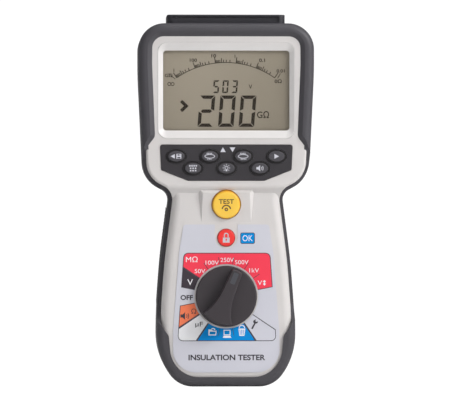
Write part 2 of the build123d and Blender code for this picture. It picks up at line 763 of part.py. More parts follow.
with BuildPart() as lock_button:
    with BuildSketch(front_plane(handle_inside)):
        with Locations((0, LOCK_Z)):
            Circle(LOCK_R)
    extrude(amount=handle_inside - HANDLE_FACE + LOCK_RISE)
    fillet(lock_button.faces().sort_by(Axis.Y)[0].edges(), 0.6)
    with BuildSketch(front_plane(handle_inside + GAP + FLANGE_T)):
        with Locations((0, LOCK_Z)):
            Circle(LOCK_R + BUTTON_FLANGE)
    extrude(amount=FLANGE_T)
    with BuildSketch(front_plane(handle_inside + GAP + FLANGE_T)):
        with Locations((0, LOCK_Z)):
            Circle(STEM_R)
    extrude(amount=1 + GAP + FLANGE_T, both=True)
write(lock_button, "lock_button")


def press_switch(z, reach):
    """Small switch on the board under a button, its plunger ending at a depth."""
    with BuildPart() as switch:
        with BuildSketch(front_plane(BOARD_FRONT)):
            with Locations((0, z)):
                RectangleRounded(9, 9, 1)
        extrude(amount=(BOARD_FRONT - reach) * 0.6)
        with BuildSketch(front_plane(BOARD_FRONT)):
            with Locations((0, z)):
                Circle(STEM_R - 0.6)
        extrude(amount=BOARD_FRONT - reach)
    return switch


test_stem_end = test_y + (TEST_DEPTH + TEST_STEM) * ramp_run / ramp_length
lock_stem_end = handle_inside + 2 * (GAP + FLANGE_T) + 1
write(press_switch(TEST_Z, test_stem_end + TEST_TRAVEL + SWITCH_GAP), "test_switch")
write(press_switch(LOCK_Z, lock_stem_end + LOCK_TRAVEL + GAP), "lock_switch")

# Selector: knob, pointer, shaft, seal, rotor and the contact ring on the board
turn = radians(KNOB_REST)


def knob_plane(depth):
    """Sketch plane centred on the knob, its y along the pointer."""
    return Plane(origin=(0, depth, KNOB_Z), x_dir=(cos(turn), 0, -sin(turn)), z_dir=(0, -1, 0))


with BuildSketch() as grip_outline:
    with BuildLine():
        right = Polyline((0, KNOB_R - 1.3), (3.2, KNOB_R - 1.8), (4.0, 2.5))
        flank = ThreePointArc(right @ 1, (5.6, -6.5), (9.3, -14.4))
        ThreePointArc(flank @ 1, (6.0, -16.1), (0, 1.3 - KNOB_R))
        mirror(about=Plane.YZ)
    make_face()

skirt_back = HANDLE_FACE - SKIRT_GAP
skirt_front = skirt_back - SKIRT_T
with BuildPart() as selector_knob:
    with BuildSketch(knob_plane(skirt_back)):
        Circle(KNOB_R)
    extrude(amount=SKIRT_T)
    fillet(selector_knob.faces().sort_by(Axis.Y)[0].edges(), 0.8)
    with BuildSketch(knob_plane(skirt_front)):
        add(grip_outline.sketch)
    extrude(amount=skirt_front - KNOB_FRONT)
    fillet(selector_knob.faces().sort_by(Axis.Y)[0].edges(), 0.9)
    with BuildSketch(knob_plane(KNOB_FRONT)):
        with Locations((0, POINTER_OUT)):
            RectangleRounded(POINTER_W, POINTER_L, 0.8)
    extrude(amount=-POINTER_T, mode=Mode.SUBTRACT)
    with BuildSketch(knob_plane(skirt_back)):
        Circle(SHAFT_R)
    extrude(amount=SKIRT_T + 4, mode=Mode.SUBTRACT)
write(selector_knob, "selector_knob")

with BuildPart() as knob_pointer:
    with BuildSketch(knob_plane(KNOB_FRONT + POINTER_T)):
        with Locations((0, POINTER_OUT)):
            RectangleRounded(POINTER_W, POINTER_L, 0.8)
    extrude(amount=POINTER_T)
write(knob_pointer, "knob_pointer")

rotor_front = HUB_BACK + 0.4
rotor_back = rotor_front + ROTOR_T
with BuildPart() as selector_shaft:
    with BuildSketch(knob_plane(rotor_back)):
        Circle(SHAFT_R)
    extrude(amount=rotor_back - skirt_front + 4)
write(selector_shaft, "selector_shaft")

with BuildPart() as selector_seal:
    with BuildSketch(knob_plane(HANDLE_FACE + SEAL_T)):
        Circle(SHAFT_R + RUN + SEAL_W)
        Circle(SHAFT_R + RUN, mode=Mode.SUBTRACT)
    extrude(amount=SEAL_T)
write(selector_seal, "selector_seal")

with BuildPart() as selector_rotor:
    with BuildSketch(knob_plane(rotor_back)):
        Circle(ROTOR_R)
        Circle(SHAFT_R, mode=Mode.SUBTRACT)
        with PolarLocations(10, 3):
            SlotOverall(6, 2.4, rotation=90, mode=Mode.SUBTRACT)
    extrude(amount=ROTOR_T)
write(selector_rotor, "selector_rotor")

with BuildPart() as selector_stator:
    with BuildSketch(knob_plane(BOARD_FRONT)):
        Circle(ROTOR_R)
        Circle(ROTOR_R - 3, mode=Mode.SUBTRACT)
        with PolarLocations(9, 8):
            Rectangle(3, 1.6)
    extrude(amount=0.3)
write(selector_stator, "selector_stator")

# Printed label on the handle, with a window for the knob and a notch for the lock button
label_corners = mirrored(
    [
        (LABEL_SIDE_HALF + 0.1, LABEL_FOOT_Z, 14),
        (LABEL_SIDE_HALF, 34, 60),
        (LABEL_SIDE_HALF - 3.7, 83, 60),
        (LABEL_TOP_HALF, LABEL_TOP_Z, 1.8),
    ]
)
notch_z = LOCK_Z + 0.4
with BuildPart() as handle_label:
    with BuildSketch(front_plane(HANDLE_FACE)):
        add(rounded_face(label_corners))
        with Locations((0, KNOB_Z)):
            Circle(KNOB_R + 0.4 + COLLAR_W, mode=Mode.SUBTRACT)
        with Locations((0, notch_z)):
            Circle(NOTCH_R, mode=Mode.SUBTRACT)
        with Locations((0, notch_z + NOTCH_R)):
            Rectangle(2 * NOTCH_R, 2 * NOTCH_R, mode=Mode.SUBTRACT)
    extrude(amount=LABEL_T)
write(handle_label, "handle_label")

# Main board and what is soldered to it
with BuildPart() as main_board:
    with BuildSketch(front_plane(board_back)):
        add(board_outline)
        with Locations(*screw_spots):
            Circle(BOSS_R + 0.3, mode=Mode.SUBTRACT)
        with Locations(*board_spots):
            Circle(SCREW_R - 0.35, mode=Mode.SUBTRACT)
    extrude(amount=BOARD_T)
write(main_board, "main_board")


def board_boxes(sizes):
    """Box-shaped components on the back of the board: (x, z, width, height, depth)."""
    with BuildPart() as group:
        for x, z, w, h, d in sizes:
            with BuildSketch(front_plane(board_back + d)):
                with Locations((x, z)):
                    Rectangle(w, h)
            extrude(amount=d)
    return group


def board_cans(sizes):
    """Round components on the back of the board: (x, z, radius, depth)."""
    with BuildPart() as group:
        for x, z, r, d in sizes:
            with BuildSketch(front_plane(board_back + d)):
                with Locations((x, z)):
                    Circle(r)
            extrude(amount=d)
    return group


# The inside of the sloping shoulder, at the outer edge of the chip that stands above it
shoulder_foot_x = HANDLE_HALF - NECK_IN
shoulder_slope = SHOULDER_RISE / (HEAD_HALF - HEAD_TAPER - shoulder_foot_x)
shoulder_out_z = NECK_Z + shoulder_slope * (SIDE_CHIP_X + SIDE_CHIP_W / 2 - shoulder_foot_x)
shoulder_in_z = shoulder_out_z + (BOOT_WALL + CASE_WALL) * hypot(1, shoulder_slope)
side_chip_z = shoulder_in_z + SIDE_CHIP_GAP + SIDE_CHIP_H / 2
write(
    board_boxes(
        [
            (-14, 50, 14, 14, 1.4),
            (12, 60, 10, 10, 1.2),
            (16, 82, 8, 6, 1.2),
            (-18, 86, 12, 5, 1.2),
            (2, 104, 5, 12, 1.4),
            (-4, 34, 7, 4, 1.0),
            (SIDE_CHIP_X, side_chip_z, SIDE_CHIP_W, SIDE_CHIP_H, 1.4),
            (-34, 136, 8, 8, 1.2),
        ]
    ),
    "board_chips",
)
write(board_boxes([(x, 166, 11, 20, 10.5) for x in (-32, -18, -4)]), "relays")
write(board_cans([(10, 140, 5, 16), (23, 140, 5, 16), (-8, 140, 4, 12)]), "capacitors")
write(board_cans([(-22, 138, 7, 6)]), "buzzer")

with BuildPart() as transformer:
    with BuildSketch(front_plane(board_back + 15)):
        with Locations((24, 166)):
            Rectangle(26, 22)
    extrude(amount=15)
    with BuildSketch(front_plane(board_back + 12)):
        with Locations((24 - 8, 166), (24 + 8, 166)):
            Rectangle(3, 26)
    extrude(amount=9)
    fillet(transformer.edges().filter_by(Axis.Y), 0.6)
write(transformer, "transformer")

write(
    screws(board_spots, board_back + 1.2, BOARD_FRONT - 4, 2.2, 1.2, SCREW_R - 0.45),
    "board_screws",
)

# Two fuses in spring clips
fuse_spots = [(side * 20.0, fuse_y, 188.0) for side in (-1, 1)]
with BuildPart() as fuses:
    with Locations(*fuse_spots):
        Cylinder(FUSE_R, FUSE_LENGTH, rotation=(0, 90, 0))
write(fuses, "fuses")

clip_ends = [
    (x + side * (FUSE_LENGTH / 2 - CLIP_W / 2), z) for x, y, z in fuse_spots for side in (-1, 1)
]
with BuildPart() as fuse_clips:
    with BuildSketch(front_plane(fuse_y + 2)):
        with Locations(*clip_ends):
            Rectangle(CLIP_W, 2 * FUSE_R + 1.2)
    extrude(amount=fuse_y + 2 - board_back)
    with Locations(*fuse_spots):
        Cylinder(FUSE_R, FUSE_LENGTH + 2, rotation=(0, 90, 0), mode=Mode.SUBTRACT)
    with BuildSketch(front_plane(fuse_y + 2)):
        with Locations(*clip_ends):
            Rectangle(CLIP_W, 2 * FUSE_R - 1.6)
    extrude(amount=2, mode=Mode.SUBTRACT)
write(fuse_clips, "fuse_clips")

# Terminal block in the top end: a flange that closes the shells and a body inside them
socket_spots = [(n * SOCKET_PITCH, SOCKET_Y) for n in (-1, 0, 1)]
flange_foot = block_top - BLOCK_FLANGE_H
body_foot = flange_foot - BLOCK_BODY_DEPTH
body_depth = BLOCK_BACK - 1 - BLOCK_BODY_FRONT
sleeve_top = block_top - SLEEVE_SINK
sleeve_foot = sleeve_top - SLEEVE_LENGTH
with BuildPart() as terminal_block:
    with BuildSketch(Plane.XY.offset(flange_foot)):
        with Locations((0, flange_middle)):
            RectangleRounded(2 * BLOCK_HALF, flange_depth, 4)
    extrude(amount=BLOCK_FLANGE_H)
    fillet(terminal_block.faces().sort_by(Axis.Z)[-1].edges(), 0.6)
    with BuildSketch(Plane.XY.offset(body_foot)):
        with Locations((0, BLOCK_BODY_FRONT + body_depth / 2)):
            RectangleRounded(2 * (BLOCK_HALF - 3), body_depth, 2)
    extrude(amount=BLOCK_BODY_DEPTH)
    with BuildSketch(front_plane(BLOCK_FRONT)):
        with Locations((0, block_top - BLOCK_RISE / 2)):
            Rectangle(2 * (BLOCK_HALF - 3.5), POCKET_H)
    extrude(amount=-POCKET_DEPTH, mode=Mode.SUBTRACT)
    with BuildSketch(Plane.XY.offset(sleeve_foot)):
        with Locations(*socket_spots):
            Circle(WELL_R)
    extrude(amount=sleeve_top, mode=Mode.SUBTRACT)
    with BuildSketch(Plane.XY.offset(block_top - RING_T)):
        with Locations(*socket_spots):
            Circle(WELL_R + RING_W)
    extrude(amount=2 * RING_T, mode=Mode.SUBTRACT)
    with BuildSketch(Plane.XY.offset(body_foot)):
        with Locations(*socket_spots):
            Circle(TAIL_R + GAP)
    extrude(amount=BLOCK_BODY_DEPTH, mode=Mode.SUBTRACT)
write(terminal_block, "terminal_block")

for socket_name, (x, y) in zip(("positive", "probe", "negative"), socket_spots):
    with BuildPart() as socket:
        with BuildSketch(Plane.XY.offset(sleeve_foot)):
            with Locations((x, y)):
                Circle(SLEEVE_R)
        extrude(amount=SLEEVE_LENGTH)
        with BuildSketch(Plane.XY.offset(body_foot - 3)):
            with Locations((x, y)):
                Circle(TAIL_R)
        extrude(amount=sleeve_foot - body_foot + 3)
        with Locations((x, y, sleeve_top)):
            Hole(BORE_R, BORE_DEPTH)
    write(socket, "socket_" + socket_name)
    with BuildPart() as ring:
        with BuildSketch(Plane.XY.offset(block_top - RING_T)):
            with Locations((x, y)):
                Circle(WELL_R + RING_W - 0.05)
                Circle(WELL_R + 0.05, mode=Mode.SUBTRACT)
        extrude(amount=RING_T - 0.05)
    write(ring, "socket_ring_" + socket_name)

# Six AA cells side by side, each the other way round from the last, and their contacts
cell_heights = [CELL_FIRST_Z + n * cell_pitch for n in range(CELL_COUNT)]
with BuildPart() as batteries:
    for n, z in enumerate(cell_heights):
        way = 1 if n % 2 else -1
        with Locations((-way * NUB_LENGTH / 2, cell_y, z)):
            Cylinder(CELL_R, CELL_LENGTH - NUB_LENGTH, rotation=(0, 90, 0))
        with Locations((way * (CELL_LENGTH - NUB_LENGTH) / 2, cell_y, z)):
            Cylinder(NUB_R, NUB_LENGTH, rotation=(0, 90, 0))
write(batteries, "batteries")

with BuildPart() as battery_contacts:
    for z in cell_heights:
        for side in (-1, 1):
            with Locations((side * (well_w / 2 - PLATE_T / 2), cell_y, z)):
                Box(PLATE_T, 9, 10)
            with Locations((side * (well_w / 2 - CONTACT_ROOM / 2 - PLATE_T / 2), cell_y, z)):
                Cylinder(2.2, CONTACT_ROOM - PLATE_T - GAP, rotation=(0, 90, 0))
write(battery_contacts, "battery_contacts")

with BuildPart() as battery_cover:
    with BuildSketch(front_plane(CASE_BACK)):
        with Locations((0, cells_middle_z)):
            RectangleRounded(cover_w, cover_h, 3)
    extrude(amount=COVER_T)
    with BuildSketch(front_plane(CASE_BACK)):
        with Locations(*cover_spots):
            Circle(SCREW_R + RUN)
    extrude(amount=COVER_T, mode=Mode.SUBTRACT)
    with BuildSketch(front_plane(CASE_BACK)):
        with Locations(*cover_spots):
            Circle(SCREW_HEAD_R + GAP)
    extrude(amount=COVER_T / 2, mode=Mode.SUBTRACT)
    chamfer(battery_cover.faces().sort_by(Axis.Y)[-1].outer_wire().edges(), 0.4)
write(battery_cover, "battery_cover")

with BuildPart() as battery_cover_seal:
    with BuildSketch(front_plane(cover_front)):
        with Locations((0, cells_middle_z)):
            Rectangle(well_w + 2 * COVER_MARGIN - 0.4, well_h + 2 * COVER_MARGIN)
            Rectangle(well_w + 0.4, well_h + 0.4, mode=Mode.SUBTRACT)
    extrude(amount=SEAL_H)
write(battery_cover_seal, "battery_cover_seal")

write(
    screws(
        cover_spots,
        CASE_BACK - 0.1,
        ledge_face - 6,
        SCREW_HEAD_R,
        COVER_T / 2 - 0.1,
        SCREW_R,
    ),
    "battery_cover_screws",
)

# Tilting stand: a ribbed plate on a barrel that turns on a pin through the boot
stand_face = HINGE_Y + BARREL_R - 0.4
stand_front = stand_face - STAND_T
with BuildPart() as stand:
    with BuildSketch(front_plane(stand_face)):
        with Locations((0, (STAND_FOOT_Z + HINGE_Z) / 2)):
            RectangleRounded(2 * STAND_HALF, HINGE_Z - STAND_FOOT_Z, 3)
    extrude(amount=STAND_T)
    chamfer(stand.faces().sort_by(Axis.Y)[-1].edges(), 0.5)
    with BuildSketch(front_plane(stand_face)):
        with Locations((0, (STAND_FOOT_Z + HINGE_Z) / 2 - 2)):
            RectangleRounded(2 * STAND_HALF - 14, HINGE_Z - STAND_FOOT_Z - 24, 4)
    extrude(amount=STAND_T - 1.6, mode=Mode.SUBTRACT)
    with BuildSketch(front_plane(stand_face)):
        with Locations((0, STAND_FOOT_Z)):
            SlotOverall(26, 9)
    extrude(amount=STAND_T, mode=Mode.SUBTRACT)
    with Locations((0, HINGE_Y, HINGE_Z)):
        Cylinder(BARREL_R, 2 * STAND_HALF, rotation=(0, 90, 0))
        Cylinder(PIN_R + RUN, 2 * STAND_HALF, rotation=(0, 90, 0), mode=Mode.SUBTRACT)
write(stand, "stand")

with BuildPart() as stand_pin:
    with Locations((0, HINGE_Y, HINGE_Z)):
        Cylinder(PIN_R, 2 * (hatch_half + PIN_GRIP - GAP), rotation=(0, 90, 0))
write(stand_pin, "stand_pin")
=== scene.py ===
from math import asin, cos, pi, radians, sin, tan

import bmesh
import bpy
from mathutils import Matrix, Vector
from mathutils.bvhtree import BVHTree


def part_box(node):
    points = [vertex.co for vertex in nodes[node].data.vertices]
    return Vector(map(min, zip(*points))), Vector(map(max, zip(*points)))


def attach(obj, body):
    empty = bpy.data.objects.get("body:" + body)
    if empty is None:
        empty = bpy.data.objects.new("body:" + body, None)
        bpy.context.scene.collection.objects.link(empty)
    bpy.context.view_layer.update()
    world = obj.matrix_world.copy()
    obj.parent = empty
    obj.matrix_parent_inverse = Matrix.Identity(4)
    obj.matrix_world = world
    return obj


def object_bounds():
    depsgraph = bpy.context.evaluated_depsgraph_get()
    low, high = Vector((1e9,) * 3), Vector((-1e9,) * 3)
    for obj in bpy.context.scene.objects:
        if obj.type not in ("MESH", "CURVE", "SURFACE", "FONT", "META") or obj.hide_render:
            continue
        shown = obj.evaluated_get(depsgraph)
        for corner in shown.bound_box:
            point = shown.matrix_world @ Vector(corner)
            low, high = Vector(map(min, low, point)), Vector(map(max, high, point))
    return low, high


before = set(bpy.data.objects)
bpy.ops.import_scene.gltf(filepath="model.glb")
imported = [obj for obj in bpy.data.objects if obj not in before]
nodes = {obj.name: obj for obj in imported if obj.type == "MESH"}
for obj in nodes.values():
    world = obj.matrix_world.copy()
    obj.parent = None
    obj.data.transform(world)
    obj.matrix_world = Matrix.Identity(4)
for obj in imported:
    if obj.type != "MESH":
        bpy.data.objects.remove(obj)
cad_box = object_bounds()
MM = 0.001

# Front and rear shells, display frame and battery cover: one pale grey ABS, injection moulded in
# spark-eroded tools, so the faces carry a fine even grain and a soft satin gloss.
SHELL_GREY = (214, 210, 208)
SHELL_ROUGH = 0.42
GRAIN = 0.00045  # size of the spark-eroded grain


def ink(red, green, blue):
    """Linear colour of a paint chip given in the usual 0 to 255 values."""
    chip = [v / 255 for v in (red, green, blue)]
    return tuple(v / 12.92 if v <= 0.04045 else ((v + 0.055) / 1.055) ** 2.4 for v in chip) + (1.0,)


class Wire:
    """An output socket of a node tree: sums and products of wires add Math nodes."""

    def __init__(self, tree, socket=None):
        self.tree, self.socket = tree, socket

    def node(self, kind, settings={}, inputs={}, output=0):
        """Adds a node: its settings first, then the values or links of its sockets."""
        made = self.tree.nodes.new(kind)
        for name, value in settings.items():
            if name == "stops":
                ramp = made.color_ramp.elements
                while len(ramp) < len(value):
                    ramp.new(0.5)
                for stop, (position, colour) in zip(ramp, value):
                    stop.position, stop.color = position, colour
            else:
                setattr(made, name, value)
        for name, value in inputs.items():
            if isinstance(value, Wire):
                self.tree.links.new(value.socket, made.inputs[name])
            else:
                made.inputs[name].default_value = value
        return Wire(self.tree, made.outputs[output])

    def maths(self, operation, *values):
        return self.node("ShaderNodeMath", {"operation": operation}, dict(enumerate(values)))

    def __add__(self, other):
        return self.maths("ADD", self, other)

    def __sub__(self, other):
        return self.maths("SUBTRACT", self, other)

    def __rsub__(self, other):
        return self.maths("SUBTRACT", other, self)

    def __mul__(self, other):
        return self.maths("MULTIPLY", self, other)

    def __truediv__(self, other):
        return self.maths("DIVIDE", self, other)

    __radd__ = __add__
    __rmul__ = __mul__

    def above(self, limit, blur=0.0):
        """1 where this wire is over a limit, 0 where it is under."""
        if not blur:
            return self.maths("GREATER_THAN", self, limit)
        return self.node(
            "ShaderNodeMapRange",
            {"interpolation_type": "SMOOTHSTEP"},
            {"Value": self, "From Min": limit - blur, "From Max": limit + blur},
        )

    def pick(self, low, high):
        """The colour low where this wire is 0, and high where it is 1."""
        mixed = {"Factor": self, 6: low, 7: high}
        return self.node("ShaderNodeMix", {"data_type": "RGBA"}, mixed, output=2)

    def axes(self):
        """X, Y and Z of a place."""
        split = self.node("ShaderNodeSeparateXYZ", {}, {0: self}).socket.node
        return [Wire(self.tree, socket) for socket in split.outputs]


def moulded(name, colour, rough, grain=GRAIN, relief=0.25, mottle=0.04, paint=None, **sockets):
    """Finish of a moulded, cast or printed piece: a cloudy colour, and a grain in gloss and relief.
    paint takes the place wire and the plain colour, and gives the colour to use instead."""
    finish = bpy.data.materials.new(name)
    finish.use_nodes = True
    tree = finish.node_tree
    shader = tree.nodes["Principled BSDF"]
    for socket, value in sockets.items():
        shader.inputs[socket.replace("_", " ")].default_value = value
    place = Wire(tree).node("ShaderNodeTexCoord", output="Object")
    cloud = place.node("ShaderNodeTexNoise", {}, {"Vector": place, "Scale": 70.0, "Detail": 4.0})
    grit = place.node("ShaderNodeTexNoise", {}, {"Vector": place, "Scale": 1 / grain, "Detail": 2.0})
    base = paint(place, ink(*colour)) if paint else ink(*colour)
    tone = 1 + mottle * (cloud - 0.5) * 2 + mottle * (grit - 0.5)
    tinted = place.node(
        "ShaderNodeVectorMath",
        {"operation": "SCALE"},
        {0: base if isinstance(base, Wire) else base[:3], "Scale": tone},
    )
    gloss = rough + 0.12 * (grit - 0.5) + 0.1 * (cloud - 0.5)
    bump = place.node(
        "ShaderNodeBump", {}, {"Strength": relief, "Distance": grain / 6, "Height": grit}
    )
    tree.links.new(tinted.socket, shader.inputs["Base Color"])
    tree.links.new(gloss.socket, shader.inputs["Roughness"])
    tree.links.new(bump.socket, shader.inputs["Normal"])
    return finish


def dress(finish, *names):
    """Gives these CAD nodes a finish."""
    for name in names:
        nodes[name].data.materials.clear()
        nodes[name].data.materials.append(finish)


shell_plastic = moulded("shell_plastic", SHELL_GREY, SHELL_ROUGH)
dress(shell_plastic, "rear_case", "front_case", "battery_cover")
dress(moulded("frame_plastic", (222, 219, 217), 0.38, grain=0.0007, relief=0.12), "lcd_frame")

# Gaskets, seals and contact strips: black silicone, pressed and trimmed, with a dull waxy skin.
dress(
    moulded("gasket_silicone", (38, 38, 40), 0.7, grain=0.0003, relief=0.4),
    "case_gasket",
    "selector_seal",
    "battery_cover_seal",
    "zebra_strips",
)


# Screws, shaft and stand pin: bright zinc-plated steel, turned and rolled. The plating has faint
# turning marks and a cloudy yellow-blue tarnish.
def tarnish(place, colour):
    cloud = place.node("ShaderNodeTexNoise", {}, {"Vector": place, "Scale": 400.0, "Detail": 3.0})
    return cloud.pick(colour, ink(176, 170, 158))


dress(
    moulded("zinc_steel", (186, 188, 192), 0.3, grain=0.0002, paint=tarnish, Metallic=1.0),
    "case_screws",
    "board_screws",
    "battery_cover_screws",
    "selector_shaft",
    "stand_pin",
)

# Main board: glass-epoxy laminate under green solder resist, with copper tracks that show through
# as lighter lines on a fine grid, and tinned pads.
TRACK_PITCH = 0.0016
TRACK_WIDTH = 0.28  # share of the pitch


def tracks(place, colour):
    x, _, z = place.axes()
    rows = (x / TRACK_PITCH).maths("FRACT", x / TRACK_PITCH)
    lines = (z / TRACK_PITCH).maths("FRACT", z / TRACK_PITCH)
    blocks = place.node("ShaderNodeTexVoronoi", {"distance": "MANHATTAN"}, {"Vector": place, "Scale": 110.0})
    which = blocks.above(0.45)
    copper = which * rows.above(1 - TRACK_WIDTH) + (1 - which) * lines.above(1 - TRACK_WIDTH)
    return copper.pick(colour, ink(62, 138, 84))


dress(moulded("board_laminate", (20, 84, 50), 0.32, grain=0.0006, paint=tracks), "main_board")

# Parts on the board: epoxy chips, switches and transformer; relays in cream nylon; capacitor cans
# sleeved in blue with a pale stripe; ceramic fuses held in sprung brass clips.
dress(
    moulded("epoxy_black", (34, 33, 36), 0.5, grain=0.0003),
    "board_chips",
    "buzzer",
    "transformer",
    "test_switch",
    "lock_switch",
    "selector_rotor",
)
dress(moulded("relay_nylon", (226, 216, 188), 0.45), "relays")
dress(moulded("can_aluminium", (182, 184, 190), 0.28, relief=0.1, Metallic=1.0), "capacitors")
dress(moulded("fuse_ceramic", (232, 228, 218), 0.35, grain=0.0008), "fuses")


def scuffed_brass(place, colour):
    cloud = place.node("ShaderNodeTexNoise", {}, {"Vector": place, "Scale": 500.0, "Detail": 5.0})
    return cloud.pick(colour, ink(150, 118, 62))


brass = moulded("contact_brass", (206, 172, 96), 0.28, paint=scuffed_brass, Metallic=1.0)
dress(brass, "fuse_clips", "battery_contacts", "selector_stator")

# Batteries: six AA cells in printed shrink sleeves, dark with a copper-coloured end band on each.
CELL_SHOULDER = 0.0165  # where the band starts, from the middle of the cell


def sleeve(place, colour):
    x, _, _ = place.axes()
    return x.above(CELL_SHOULDER).pick(colour, ink(196, 128, 66))


dress(moulded("cell_sleeve", (46, 48, 56), 0.25, relief=0.05, paint=sleeve), "batteries")

# Display: a twisted-nematic glass on a light guide behind a clear acrylic window. The glass has a
# grey-green field with painted shade: darker to the right, towards the lower edge and along the left edge.
GLASS_LIGHT = (202, 191, 177)
# The darker glass colour is painted shade, not a colour of the display itself.
GLASS_SHADED = (160, 150, 137)
WINDOW_HALF = 0.0387
window_low, window_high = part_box("lcd_window")
glass_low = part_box("lcd_module")[0]
display_z = (window_low.z + window_high.z) / 2 / MM
glass_front = glass_low.y / MM


# Painted shade: the glass colour turns darker to the right, towards the bottom and along the left edge.
def painted_display_shade(place, colour):
    x, _, z = place.axes()
    across = (x + WINDOW_HALF) / (2 * WINDOW_HALF)
    down = (window_high.z - z) / (window_high.z - window_low.z)
    shade = across * across * 0.55 + down * 0.25 + (0.18 - across).above(0, 0.2) * 0.2
    return shade.pick(colour, ink(*GLASS_SHADED))


dress(
    moulded("display_glass", GLASS_LIGHT, 0.5, grain=0.0002, relief=0.1, mottle=0.03, paint=painted_display_shade),
    "lcd_module",
)
dress(moulded("light_guide", (232, 236, 230), 0.15, relief=0.05), "backlight_plate")

window_clear = bpy.data.materials.new("window_clear")
window_clear.use_nodes = True
pane = window_clear.node_tree
pane.nodes.remove(pane.nodes["Principled BSDF"])
sheen = Wire(pane).node("ShaderNodeFresnel", {}, {"IOR": 1.3})
through = sheen.node("ShaderNodeBsdfTransparent", {}, {"Color": ink(250, 250, 248)})
haze = sheen.node("ShaderNodeTexCoord", output="Object")
smears = sheen.node("ShaderNodeTexNoise", {}, {"Vector": haze, "Scale": 60.0})
mirror = sheen.node("ShaderNodeBsdfGlossy", {}, {"Color": ink(255, 255, 255), "Roughness": smears * 0.12})
glazed = sheen.node("ShaderNodeMixShader", {}, {0: sheen * 0.6, 1: through, 2: mirror})
pane.links.new(glazed.socket, pane.nodes["Material Output"].inputs["Surface"])
dress(window_clear, "lcd_window")


def link(thing):
    bpy.context.scene.collection.objects.link(thing)
    return thing


def stamped(name, marks, depth, finish, body, thick=0.04, place=None):
    """A printed layer, in mm, standing on the plane y = depth. A mark is a list of closed outlines
    of (x, z), or a tuple of lettering: (words, x, z, height, width or None, boldness)."""
    layer = bmesh.new()
    for mark in marks:
        lettering = isinstance(mark, tuple)
        curve = bpy.data.curves.new(name, "FONT" if lettering else "CURVE")
        curve.extrude = thick / 2
        if lettering:
            words, x, z, height, width, boldness = mark
            curve.body = words
            curve.offset = boldness
            curve.resolution_u = 5
        else:
            curve.dimensions = "2D"
            curve.fill_mode = "BOTH"
            for outline in mark:
                spline = curve.splines.new("POLY")
                spline.points.add(len(outline) - 1)
                for point, (across, up) in zip(spline.points, outline):
                    point.co = (across, up, 0, 1)
                spline.use_cyclic_u = True
        holder = bpy.data.objects.new(name, curve)
        mesh = bpy.data.meshes.new_from_object(holder)
        if lettering:
            spans = [[v.co[n] for v in mesh.vertices] for n in (0, 1)]
            low, high = [min(s) for s in spans], [max(s) for s in spans]
            tall = height / (high[1] - low[1])
            wide = width / (high[0] - low[0]) if width else tall
            middle = Vector(((low[0] + high[0]) / 2, (low[1] + high[1]) / 2, 0))
            for v in mesh.vertices:
                off = v.co - middle
                v.co = (x + off.x * wide, z + off.y * tall, v.co.z)
        layer.from_mesh(mesh)
        bpy.data.objects.remove(holder)
    for v in layer.verts:
        v.co = Vector((v.co.x, depth - thick / 2 - v.co.z, v.co.y)) * MM
    bmesh.ops.remove_doubles(layer, verts=layer.verts, dist=0.002 * MM)
    bmesh.ops.recalc_face_normals(layer, faces=layer.faces)
    if place is not None:
        layer.transform(place)
    printed = bpy.data.meshes.new(name)
    layer.to_mesh(printed)
    layer.free()
    printed.materials.append(finish)
    piece = link(bpy.data.objects.new(name, printed))
    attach(piece, body)
    return piece


def arc(x, z, radius, start, end, steps=16):
    """Points round (x, z), from one angle clockwise from the top to another."""
    turns = [radians(start + (end - start) * n / steps) for n in range(steps + 1)]
    return [(x + radius * sin(a), z + radius * cos(a)) for a in turns]


def band(x, z, radius, width, start, end, steps=16):
    """Outline of a strip that follows an arc."""
    outer = arc(x, z, radius + width / 2, start, end, steps)
    return outer + arc(x, z, radius - width / 2, end, start, steps)


MITRE_LIMIT = 0.3  # how far a sharp corner of a strip may reach out


def stroke(points, width):
    """Outline of a strip of even width with mitred corners along some points."""
    sides = ([], [])
    for n, (x, z) in enumerate(points):
        before = Vector(points[n]) - Vector(points[n - 1]) if n else None
        after = Vector(points[n + 1]) - Vector(points[n]) if n + 1 < len(points) else None
        run = (before or after).normalized() + (after or before).normalized()
        square = Vector((-run.y, run.x)).normalized()
        leg = after or before
        across = Vector((-leg.y, leg.x)).normalized()
        reach = width / 2 / max(MITRE_LIMIT, abs(square.dot(across)))
        sides[0].append((x + square.x * reach, z + square.y * reach))
        sides[1].append((x - square.x * reach, z - square.y * reach))
    return sides[0] + sides[1][::-1]


def box(x, z, width, height):
    w, h = width / 2, height / 2
    return [(x - w, z - h), (x + w, z - h), (x + w, z + h), (x - w, z + h)]


# Figures on the display: dark liquid-crystal segments sealed in the glass. Two rows of slanted
# seven-segment figures, an analogue arc with its marks, and the fixed units.
segment_dark = moulded("segment_dark", (46, 33, 24), 0.5, mottle=0.08, grain=0.0003, relief=0.05)
SLANT = tan(radians(4.5))
FIGURES = {"0": "abcdef", "2": "abged", "3": "abgcd", "5": "afgcd"}
SEGMENT_GAP = 0.14  # share of the stroke


def figure_segments(figure, x, z, width, height, thick):
    """Outlines of one seven-segment figure with its lower left corner at (x, z)."""
    gap, t, w, h = thick * SEGMENT_GAP, thick, width, height
    top = [(gap, h), (w - gap, h), (w - t - gap, h - t), (t + gap, h - t)]
    upper = [(0, h - gap), (t, h - t - gap), (t, h / 2 + t / 2 + gap), (0, h / 2 + gap)]
    middle = [
        (t / 2 + gap, h / 2),
        (t + gap, h / 2 + t / 2),
        (w - t - gap, h / 2 + t / 2),
        (w - t / 2 - gap, h / 2),
        (w - t - gap, h / 2 - t / 2),
        (t + gap, h / 2 - t / 2),
    ]
    shapes = {
        "a": top,
        "f": upper,
        "b": [(w - u, v) for u, v in upper],
        "g": middle,
        "e": [(u, h - v) for u, v in upper],
        "c": [(w - u, h - v) for u, v in upper],
        "d": [(u, h - v) for u, v in top],
    }
    return [[(x + u + v * SLANT, z + v) for u, v in shapes[s]] for s in FIGURES[figure]]


